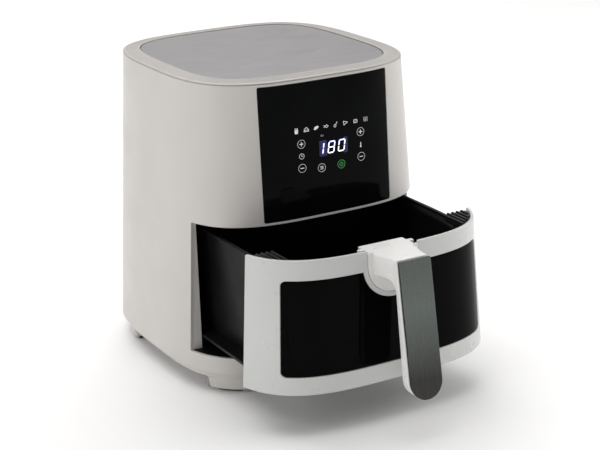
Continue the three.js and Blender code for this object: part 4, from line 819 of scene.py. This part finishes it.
def base():
    level, height, taper = 16, 13.2, 0.09
    slots = [[(x, MIDDLE + y) for x, y in rounded(-30, 30, c - 2, c + 2, 1.9, 4)] for c in (-24, 0, 24)]
    loops = [outline_loop(BODY, level + 2, -5.0, count=240), *slots]
    top = SHELL_BOTTOM - GAP
    laid("base_skirt", loops, top, top - level, CREAM, "body", bevel=0.2, under=1.2,
         replaces=["base_tray"])
    for name in ("front_left", "front_right", "rear_left", "rear_right"):
        sx = -1 if "left" in name else 1
        (left, right), (front, back) = (span(f"foot_pad_{name}", axis) for axis in (0, 1))
        inner_x = min(abs(left), abs(right)) - 6.0
        if "front" in name:
            inner_y = back - MIDDLE + 6.0
            ends = sorted([BODY.at_y(inner_y, level, 1), abs(BODY.at_x(inner_x, level))])
        else:
            inner_y = front - MIDDLE - 6.0
            at_side = np.interp(inner_y / body_back(level), BODY.along[BACK], BODY.place[BACK])
            ends = sorted([float(at_side), BODY.behind_x(inner_x, level)])
        outer = outline_loop(BODY, level, -7.0, ends[0], ends[1], 40)
        loop = softened([*outer, (inner_x, MIDDLE + inner_y)], [3] + [0] * (len(outer) - 2) + [3, 9])
        loop = [(sx * x, y) for x, y in loop]
        flat, tilt, faces = slab([loop], height, 0.3, 1.6)
        centre = np.mean(flat[:, :2], axis=0)
        flat[:, :2] = centre + (flat[:, :2] - centre) * (1 + taper * flat[:, 2:] / height)
        piece(f"foot_{name}", flat + np.array([0, 0, level + 0.5]), faces, CREAM, "body", tilt)


jambs()
opening_plates()
rear_cover()
rim()
panel()
base()


# ---- Marks on the touch panel ----


def printed(name, groups, material, rise=0.05):
    """Thin flat shapes on the panel's face, all in one piece. Each group is a list of loops."""
    points, normals, faces = [], [], []
    for loops in groups:
        placed = [on_front(BODY, loop) for loop in loops]
        flat, _, local = slab(placed, 0.3, 0.0)
        where, normal, _, _ = BODY.surface(flat[:, 0], flat[:, 1], flat[:, 2] + rise)
        first = len(points)
        points += where.tolist()
        normals += normal.tolist()
        faces += [tuple(i + first for i in face) for face in local]
    return piece(name, points, faces, material, "body", np.array(normals))


def moved(loop, x, z, lean=0.0):
    return [(x + a + lean * b, z + b) for a, b in loop]


def ring(x, z, outer, inner):
    return [circle(x, z, outer, 28), circle(x, z, inner, 28)]


def bar(x0, z0, x1, z1, thick):
    """Straight stroke with slightly rounded ends."""
    along = Vector((x1 - x0, z1 - z0)).normalized()
    side = Vector((-along.y, along.x)) * thick / 2
    tip = along * thick * 0.3
    a, b = Vector((x0, z0)), Vector((x1, z1))
    return [tuple(p) for p in (a - side, b - side, b + tip, b + side, a + side, a - tip)]


def digit(figure, x, z):
    """Seven-segment figure, standing on z from x."""
    width, height, thick, lean = 6.7, 11.2, 1.25, 0.17
    lit = {"0": "abcdef", "1": "bc", "8": "abcdefg"}[figure]
    half = height / 2
    gap = 0.2
    ends = {
        "a": (0, height, width, height), "b": (width, height, width, half),
        "c": (width, half, width, 0), "d": (0, 0, width, 0), "e": (0, half, 0, 0),
        "f": (0, height, 0, half), "g": (0, half, width, half),
    }
    shapes = []
    for name in lit:
        a, b = Vector(ends[name][:2]), Vector(ends[name][2:])
        along = (b - a).normalized()
        side = Vector((-along.y, along.x)) * thick / 2
        tip = along * thick / 2
        a, b = a + along * gap, b - along * gap
        hexagon = [a, a + tip - side, b - tip - side, b, b - tip + side, a + tip + side]
        shapes.append([moved([tuple(p) for p in hexagon], x, z, lean)])
    return shapes


def stroke(points, thick):
    """Open line drawn as one bar for each of its lengths."""
    return [[bar(*points[i], *points[i + 1], thick)] for i in range(len(points) - 1)]


KEY_RADII = 4.4, 4.05


def key(x, z, upright_bar):
    """Round touch key with a minus, or a plus where it has an upright bar."""
    shapes = [ring(x, z, *KEY_RADII), [bar(x - 2.0, z, x + 2.0, z, 0.8)]]
    if upright_bar:
        shapes += [[bar(x, z + 0.4, x, z + 2.0, 0.8)], [bar(x, z - 2.0, x, z - 0.4, 0.8)]]
    return shapes


def food_icons(z):
    """The cooking programmes: fries, cake, meat, fish, drumstick, pizza, loaf and steam."""
    shapes = [[moved([(-2.0, 0.9), (-1.6, -2.8), (1.6, -2.8), (2.0, 0.9)], -35.4, z)]]
    shapes += [[bar(-36.6 + 1.2 * i, z + 1.2, -36.7 + 1.3 * i, z + 2.8, 0.7)] for i in range(3)]
    shapes += stroke([(-27.0, z - 1.8), (-21.4, z - 1.8), (-22.2, z + 0.6), (-24.2, z + 2.3),
                      (-26.2, z + 0.6), (-27.0, z - 1.8)], 0.6)
    shapes += [[bar(-26.2, z - 0.4, -22.2, z - 0.4, 0.5)]]
    meat = [(-2.9, -1.2), (-1.2, -2.0), (1.8, -0.6), (3.0, 1.0), (1.6, 2.1), (-1.6, 1.2)]
    shapes += [[moved(meat, -13, z)]]
    shapes += stroke([(-4.4, z + 1.2), (-2.8, z), (-4.4, z - 1.2)], 0.5)
    shapes += stroke([(-2.8, z), (-1.2, z + 1.5), (1.0, z), (-1.2, z - 1.5), (-2.8, z)], 0.6)
    shapes += [ring(8.6, z - 1.2, 1.5, 0.95), *stroke([(9.5, z - 0.1), (11.2, z + 2.6)], 0.6)]
    shapes += stroke([(18.6, z + 1.9), (19.0, z - 2.0), (23.4, z + 0.4), (18.6, z + 1.9)], 0.6)
    shapes += [[rounded(30.5, 35.0, z - 2.0, z + 1.8, 1.1, 3), rounded(31.1, 34.4, z - 1.4, z + 1.2, 0.8, 3)],
               [bar(31.6, z - 0.1, 33.9, z - 0.1, 0.5)]]
    for shift in (-1.9, 0, 1.9):
        wave = [(45.2 + shift + 0.5 * sin(1.9 * i), z - 2.3 + 0.78 * i) for i in range(7)]
        shapes.append([[(x - 0.25, y) for x, y in wave] + [(x + 0.25, y) for x, y in wave[::-1]]])
    return shapes


def panel_marks():
    middle = (PANEL_BOTTOM + PANEL_TOP) / 2
    low_row, display = middle - 20.6, middle - 6.7
    lit = []
    for figure, x in (("1", -13.4), ("8", -0.7), ("0", 11.2)):
        lit += digit(figure, x, display)
    printed("display_field", [[rounded(-10.5, 22.5, display - 2.5, display + 13.7, 1.5, 4)]], FIELD, 0.02)
    printed("display_digits", lit, DIGIT, 0.08)
    printed("degree_mark", [ring(-7.4, middle + 12.0, 0.9, 0.45),
                            [bar(-6.1, middle + 11.2, -5.2, middle + 12.6, 0.5)]], FAINT)
    marks = []
    for x, z, plus in ((-30.5, middle + 7.0, True), (-30.6, middle - 17.6, False),
                       (38.4, middle + 8.9, True), (38.3, middle - 16.8, False)):
        marks += key(x, z, plus)
    marks += [ring(-30.7, middle - 5.4, 2.9, 2.45), [bar(-30.7, middle - 5.6, -30.7, middle - 3.6, 0.5)],
              [bar(-30.9, middle - 5.4, -29.3, middle - 5.4, 0.5)]]
    marks += [[circle(38.2, middle - 6.2, 1.0, 16)], [bar(38.2, middle - 5.4, 38.2, middle - 2.0, 0.9)]]
    marks.append(ring(-8.5, low_row, *KEY_RADII))
    marks += [[bar(-10.2, low_row + step, -6.8, low_row + step, 0.55)] for step in (-1.3, 0, 1.3)]
    printed("panel_symbols", marks + food_icons(middle + 20.9), MARK)
    sweep = [*arc(14.3, low_row, 2.1, 125, 415, 20), *arc(14.3, low_row, 1.6, 415, 125, 20)]
    printed("power_symbol", [[sweep], [bar(14.3, low_row + 0.6, 14.3, low_row + 2.5, 0.5)],
                             ring(14.3, low_row, *KEY_RADII)], MARK_GREEN)


panel_marks()


# ---- Drawer ----

DRAWER_Y = MIDDLE - DRAWER_OUT
DRAWER_EAR = EAR - GAP
BRIDGE_TOP = high("handle_arm")[2]
GRIP_FOOT = low("handle_arm")[2]
BRACKET_HALF = 28.3
RIB_RISE = 3.0
BRACKET_HEIGHT = 44.6
BRACKET_CENTRE = DRAWER_TOP - BRACKET_HEIGHT + BRACKET_HALF
WINDOW_SHARE, WINDOW_RADIUS, NOTCH_MARGIN = 0.8145, 5, 5.2
WINDOW_LOW, WINDOW_HIGH = low("window_outer")[2] - GAP, high("window_outer")[2] + GAP


def window_shape(grow):
    """The window's outline, with a notch over the handle's bracket, grown all round."""
    radius = WINDOW_RADIUS + grow
    low_z, high_z = WINDOW_LOW - grow + radius, WINDOW_HIGH + grow - radius
    low_x, high_x = (WINDOW_SHARE * body_half(z) + grow - radius for z in (low_z, high_z))
    notch = BRACKET_HALF + NOTCH_MARGIN - grow
    angle = degrees(asin((BRACKET_CENTRE - WINDOW_HIGH - grow) / notch))
    shape = [*arc(-low_x, low_z, radius, 180, 270), *arc(low_x, low_z, radius, 270, 360),
             *arc(high_x, high_z, radius, 0, 90), *arc(0, BRACKET_CENTRE, notch, -angle, angle - 180, 40),
             *arc(-high_x, high_z, radius, 90, 180)]
    return on_front(DRAWER, dense(shape))


def drawer_face():
    notch = BRACKET_HALF + GAP
    ears = [DRAWER.at_y(DRAWER_EAR, z, 1) for z in (DRAWER_BOTTOM, DRAWER_TOP)]
    inner = float(DRAWER.at_x(notch, DRAWER_TOP))
    lip = softened([(ears[0], DRAWER_BOTTOM), (ears[1], DRAWER_TOP), (inner, DRAWER_TOP),
                    (float(DRAWER.at_x(notch, BRACKET_CENTRE)), BRACKET_CENTRE)], [1.2, 1.5, 1.2, 0])
    dip = on_front(DRAWER, arc(0, BRACKET_CENTRE, notch, 0, -180, 44)[1:-1])
    loop = [*lip, *dip, *mirrored(lip)]
    wrapped("drawer_face", DRAWER, [loop, window_shape(0)], 3.0, WHITE, "drawer", bevel=0.8, under=0.4,
            grid=(5.0, 12.0), straight=square_ears(DRAWER, DRAWER_EAR), replaces=["drawer_front"])
    wrapped("window_glass", DRAWER, [window_shape(-GAP)], 2.2, SMOKED, "drawer", out=-0.8, bevel=0.7,
            under=0.3, grid=(5.0, 12.0), replaces=["window_outer"])


def drawer_liner():
    ear = DRAWER_EAR - 3.0
    z0, z1 = low("drawer_inner_frame")[2], high("drawer_inner_frame")[2] - RIB_RISE
    loop = front_band(DRAWER, ear, z0, z1, 1)
    wrapped("drawer_liner", DRAWER, [loop, window_shape(-3.5)], 2.0, BLACK, "drawer", out=-5.1,
            bevel=0.5, under=0.5, replaces=["drawer_inner_frame"])
    for name, top in (("upper", z1), ("lower", z0 + 3)):
        end = DRAWER.at_y(ear, top, 1)
        outer = outline_loop(DRAWER, top, -5.3, -end, end, 90)
        stop = PAN.at_y(DRAWER_Y + ear - PAN_MIDDLE, top, 1)
        inner = outline_loop(PAN, top, 4.0, stop, -stop, 90)
        laid(f"drawer_ledge_{name}", [[*outer, *inner]], top, 3.0, BLACK, "drawer", bevel=0.6,
             under=0.4)
    for side, sign in (("left", -1), ("right", 1)):
        corner_block(side, sign, DRAWER_EAR - 0.8, z0)


def half_at(outline, y, z, out):
    """Half-width of an offset outline at a place along the depth."""
    plan = np.array(outline_loop(outline, z, out, 0, outline.end / 2, 160))
    order = np.argsort(plan[:, 1])
    return float(np.interp(y, plan[order, 1], plan[order, 0]))


def corner_block(side, sign, ear, z0):
    """Ribbed bracket that fills the drawer's end, over the pan's corner."""
    inner, depth, top = 98.0, 34.0, DRAWER_TOP - 2.2
    back, cap = DRAWER_Y + ear, PAN_RIM + GAP
    steps = [back - depth * i / 8 for i in range(9)]
    edge = [(half_at(DRAWER, y, top, -3.6), y) for y in steps]
    loop = softened([*edge, (inner, steps[-1]), (inner, back)], [2.5, *[0] * 7, 1.0, 2.0, 2.0], 3)
    laid(f"drawer_corner_{side}", [sided(loop, sign)[::-1]], top, top - cap, BLACK, "drawer", bevel=0.9,
         under=0.4)
    margin, rib_width, rib_inset = 2.5, 1.9, -4.6
    room = half_at(DRAWER, back - 5, top, rib_inset) - inner - margin
    for i in range(4):
        x0 = inner + margin + room * i / 4
        x1 = x0 + rib_width
        reach = [y for y in np.linspace(back - 1.5, back - depth + 1.5, 40)
                 if half_at(DRAWER, y, top, rib_inset) > x1]
        rib = sided([(x0, reach[0]), (x0, reach[-1]), (x1, reach[-1]), (x1, reach[0])], sign)
        laid(f"drawer_corner_rib_{side}_{i + 1}", [rib], top + 1.8, 2.4, BLACK, "drawer", bevel=0.5,
             under=0.2)
    foot, head, pitch = z0 + 1, cap - 0.5, 12
    for i in range(3):
        y = back - 4.2 - pitch * i
        inside = half_at(PAN, y, cap, 4.0)
        outside = [half_at(DRAWER, y, z, -5.6) for z in (foot, head)]
        plate = sided([(inside, foot), (outside[0], foot), (outside[1], head), (inside, head)], sign)
        upright(f"drawer_rib_{side}_{i + 1}", [plate], y - 1, 2.0, BLACK, "drawer", bevel=0.4, under=0.4)


def pan_pieces():
    seam = PAN.end
    bend, wall = 8.0, 1.4
    z0, z1 = PAN_FLOOR + bend, PAN_RIM - 2.5
    skin = [(-seam, z0), (seam, z0), (seam, z1), (-seam, z1)]
    foot, head, margin = PAN_FLOOR + 29, PAN_RIM - 22.5, PAN_HALF - 32
    port = [(float(PAN.at_x(x, z)), z) for x, z in dense(rounded(-margin, margin, foot, head, 6))]
    wrapped("pan_wall", PAN, [skin, port], wall, COATING, "drawer", bevel=0.0, grid=(6.0, 12.0),
            pinned=at_seam(PAN), replaces=["pan"])
    top = PAN_RIM
    lip = [(0.0, top - 2.9), (2.4, top - 2.2), (2.85, top - 1.9), (3.0, top - 1.4), (3.0, top - 0.7),
           (2.6, top - 0.2), (1.9, top), (-0.6, top), (-1.1, top - 0.2), (-1.4, top - 0.7), (-1.4, top - 2.9)]
    banded("pan_lip", PAN, lip, COATING, "drawer", sharp=60)

    def section(inset):
        """The bottom bend in section, set in from its outer face."""
        turns = [pi / 2 * i / 8 for i in range(9)]
        return [(-inset - (bend - inset) * (1 - cos(a)),
                 PAN_FLOOR + inset + (bend - inset) * (1 - sin(a))) for a in turns]

    banded("pan_bend", PAN, [*section(0.0), *section(wall)[::-1]], COATING, "drawer", sharp=60)
    plate = outline_loop(PAN, PAN_FLOOR, -bend + 0.1, count=200)
    ridges = [outline_loop(PAN, PAN_FLOOR, -d, count=160) for d in (40, 46)]
    for part, loops, rise, bevel in (("floor", [plate, ridges[0]], 0.0, 0.0),
                                     ("floor_ridge", ridges, 1.2, 0.8),
                                     ("floor_middle", [ridges[1]], 0.0, 0.0)):
        laid(f"pan_{part}", loops, PAN_FLOOR + wall + rise, wall + rise, COATING, "drawer", bevel=bevel)


def crisper():
    base, top = span("crisper_plate")
    loops = [outline_loop(PAN, top, -6.9, count=200)]
    # Rings of slots: the place and length as shares of the pan's half-width, and how many.
    for place, length, count in ((0.215, 0.16, 6), (0.445, 0.18, 10), (0.695, 0.195, 14)):
        for i in range(count):
            a = 2 * pi * i / count
            reach, half = place * PAN_HALF, length * PAN_HALF / 2
            c, s = cos(a), sin(a)
            slot = rounded(reach - half, reach + half, -2.5, 2.5, 2.3, 4)
            loops.append([(x * c - y * s, PAN_MIDDLE + x * s + y * c) for x, y in slot])
    laid("crisper_tray", loops, top, 2.0, COATING, "crisper", bevel=0.6, under=0.4,
         replaces=["crisper_plate"])
    leg_place = 0.62  # as a share of the pan's half-width and half-depth
    for i, (sx, sy) in enumerate(((-1, -1), (1, -1), (-1, 1), (1, 1))):
        x, y = sx * leg_place * PAN_HALF, PAN_MIDDLE + sy * leg_place * PAN_DEPTH
        laid(f"crisper_leg_{i + 1}", [circle(x, y, 4.0)], top - 1, top - 1 - base, COATING, "crisper",
             bevel=0.2, under=1.0)


drawer_face()
drawer_liner()
pan_pieces()
crisper()


# ---- Handle ----

LEAN = radians(9.24)
PLATE_FACE = 2.2
CORE_FACE = 2.4
GRIP_THICK = (7.0, 12.0)
GRIP_HALF = high("handle_plate")[0]
BRIDGE_REACH, BRIDGE_THICK = 37.3, 22.2
GRIP_TOP_Y = -body_front(BRIDGE_TOP) - BRIDGE_REACH
BRIDGE_FOOT = BRIDGE_TOP - BRIDGE_THICK
BACKSET = (PLATE_FACE + CORE_FACE + 2 * GAP) / cos(LEAN)


def grip_front(z):
    return GRIP_TOP_Y - (BRIDGE_TOP - z) * tan(LEAN) + BACKSET


def handle_arm():
    fillet, bridge_half, inside = 14.0, 22.5, 5.0
    fillet_z = BRIDGE_FOOT - fillet
    back = grip_front(fillet_z) + GRIP_THICK[0]
    root = -body_front(BRIDGE_TOP)
    foot_y = grip_front(GRIP_FOOT)
    start = root + inside
    corners = [(start, BRIDGE_FOOT), (start, BRIDGE_TOP), (grip_front(BRIDGE_TOP), BRIDGE_TOP),
               (foot_y, GRIP_FOOT), (foot_y + GRIP_THICK[1], GRIP_FOOT), (back, fillet_z)]
    profile = softened(corners, [0, 0, 0.8, 1.5, 5, 0])
    profile += arc(back + fillet, fillet_z, fillet, 180, 90, 14)[1:]
    flat, _, faces = slab([dense(profile, 1.8)], 2 * bridge_half, 1.7, 1.7, (2.5, 2.5))
    centre = GRIP_FOOT + GRIP_HALF
    front = GRIP_TOP_Y + BACKSET + GRIP_THICK[0]
    points = []
    for y, z, w in flat:
        share = min(max((y - front) / (root - front), 0), 1)
        half = GRIP_HALF + (bridge_half - GRIP_HALF) * share
        if z < centre:
            half = sqrt(max(GRIP_HALF**2 - (centre - z) ** 2, 0.4))
        points.append(((w + bridge_half) * half / bridge_half, DRAWER_Y + y, z))
    arm = piece("handle_grip", points, faces, HANDLE, "drawer", replaces=["handle_arm"])
    arm.data.set_sharp_from_angle(angle=radians(48))
    weigh(arm)


def bracket():
    half, inner = BRACKET_HALF, BRACKET_HALF - 1.4
    under = BRIDGE_TOP - 0.3
    plate = [(half, under), (-half, under), *arc(0, BRACKET_CENTRE, half, 180, 360, 36)]
    wrapped("handle_bracket", DRAWER, [on_front(DRAWER, dense(plate, 3.0))[::-1]], 1.8, HANDLE, "drawer",
            out=-1.1, bevel=0.2, under=0.2)
    lip = [(-half, BRIDGE_TOP), *arc(0, BRACKET_CENTRE, half, 180, 360, 36), (half, BRIDGE_TOP),
           (inner, BRIDGE_TOP), *arc(0, BRACKET_CENTRE, inner, 360, 180, 36), (-inner, BRIDGE_TOP)]
    wrapped("handle_bracket_lip", DRAWER, [on_front(DRAWER, dense(lip, 3.0))], 2.6, HANDLE, "drawer",
            bevel=0.4)
    wall = -body_front(BRIDGE_TOP) + 3.0
    neck, hook, hook_y, hook_depth = BRACKET_HALF - 3, BRACKET_HALF + 2.7, wall + 8.3, 5
    back = PAN_FRONT + PAN_LIP - DRAWER_Y + 7
    right = [(neck, wall - 0.3), (neck, hook_y), (hook, hook_y), (hook, hook_y + hook_depth),
             (neck, hook_y + hook_depth), (neck, back)]
    loop = softened([(-neck, wall - 0.3), *right, *mirrored(right)[:-1]],
                    [0, 0, 0.6, 1, 1, 0.6, 1.5, 1.5, 0.6, 1, 1, 0.6], 3)
    laid("handle_hooks", [loop], BRIDGE_TOP - 0.03, 3.0, HANDLE, "drawer", bevel=0.6, under=0.4,
         centre=(0.0, DRAWER_Y))


def handle_face():
    c, s, half = cos(LEAN), sin(LEAN), GRIP_HALF
    length = (BRIDGE_TOP - GRIP_FOOT) / c
    turn = -length + half
    loop = softened([(-half, turn), (half, turn), (half, 0), (-half, 0)], [0, 0, 1.6, 1.6])
    loop = [*arc(0, turn, half, 180, 360, 40), *loop[2:]]
    flat, tilt, faces = slab([loop], PLATE_FACE, 0.4, 0.2, (4, 6))

    def leaning(x, up, forward):
        back = -forward
        return np.stack([x, back * c + up * s, -back * s + up * c], 1)

    points = leaning(*flat.T) + np.array([0.0, DRAWER_Y + GRIP_TOP_Y, BRIDGE_TOP])
    piece("handle_face", points, faces, SHADED_HANDLE_PLATE, "drawer", leaning(*tilt.T), replaces=["handle_plate"])


handle_arm()
bracket()
handle_face()


# ---- Stage, light and camera ----

FLOOR_REACH = 6.0  # metres from the middle to each side


def floor():
    f = Finish("floor_paper").set(Specular_IOR_Level=0.15)
    f.colours(f.noise(3, 3), (0.93, 0.925, 0.92), (0.95, 0.945, 0.94))
    f.roughness(f.noise(30, 3), 0.75, 0.9)
    f.bump(f.noise(200, 2), 0.05, 0.2)
    corners = [(x * FLOOR_REACH, y * FLOOR_REACH, 0) for x, y in ((-1, -1), (1, -1), (1, 1), (-1, 1))]
    mesh = bpy.data.meshes.new("floor")
    mesh.from_pydata(corners, [], [(0, 1, 2, 3)])
    mesh.materials.append(f.material)
    obj = added("floor", mesh)
    obj.location.z = -0.0002


# name, place, aim and size in metres, and power in watts
SOFTBOXES = (
    ("above", (0.0, 0.5, 2.2), (0, 0, 0), (2.8, 2.8), 50),
    ("left", (-2.3, 0.1, 1.0), (0, 0, 0.15), (1.6, 1.6), 17),
    ("right", (2.2, -0.5, 1.0), (0, 0, 0.15), (1.2, 1.4), 31),
    ("far", (0.0, 3.4, 2.6), (0, 3.4, 0), (5.0, 2.6), 85),
    ("front", (-0.9, -2.4, 0.75), (0, 0, 0.08), (1.8, 0.9), 9),
)


def lights():
    for name, place, aim, size, power in SOFTBOXES:
        light = bpy.data.lights.new(name, "AREA")
        light.shape = "RECTANGLE"
        light.size, light.size_y = size
        light.energy = power
        obj = added(name, light)
        obj.location = place
        obj.rotation_euler = (Vector(aim) - Vector(place)).to_track_quat("-Z", "Y").to_euler()
    world = bpy.data.worlds.new("studio")
    world.use_nodes = True
    sky = world.node_tree.nodes["Background"]
    sky.inputs["Color"].default_value = (1.0, 0.99, 0.98, 1)
    sky.inputs["Strength"].default_value = 0.15
    bpy.context.scene.world = world


# The camera fitted to the photo, in degrees and millimetres.
AZIMUTH, ELEVATION, ROLL = radians(-28.9688), radians(18.3302), radians(-1.8677)
DISTANCE, AIM_ASIDE, AIM_HEIGHT = 1764.37, 35.2603, 128.343
LENS, SENSOR = 96.749, 36.0


def camera():
    c, s, shrink = cos(AZIMUTH), sin(AZIMUTH), cos(ELEVATION)
    back = Vector((s * shrink, -c * shrink, sin(ELEVATION)))
    aim = Vector((AIM_ASIDE * c, AIM_ASIDE * s + MIDDLE, AIM_HEIGHT))
    level = Vector((c, s, 0))
    up = back.cross(level)
    right = level * cos(ROLL) + up * sin(ROLL)
    top = up * cos(ROLL) - level * sin(ROLL)
    eye = (aim + back * DISTANCE) * MM
    data = bpy.data.cameras.new("camera")
    data.lens, data.sensor_width = LENS, SENSOR
    data.clip_start, data.clip_end = 0.1, 50.0
    obj = added("camera", data)
    matrix = Matrix((right, top, back)).transposed().to_4x4()
    matrix.translation = eye
    obj.matrix_world = matrix
    bpy.context.scene.camera = obj


floor()
lights()
camera()
bpy.context.scene.view_settings.view_transform = "Standard"
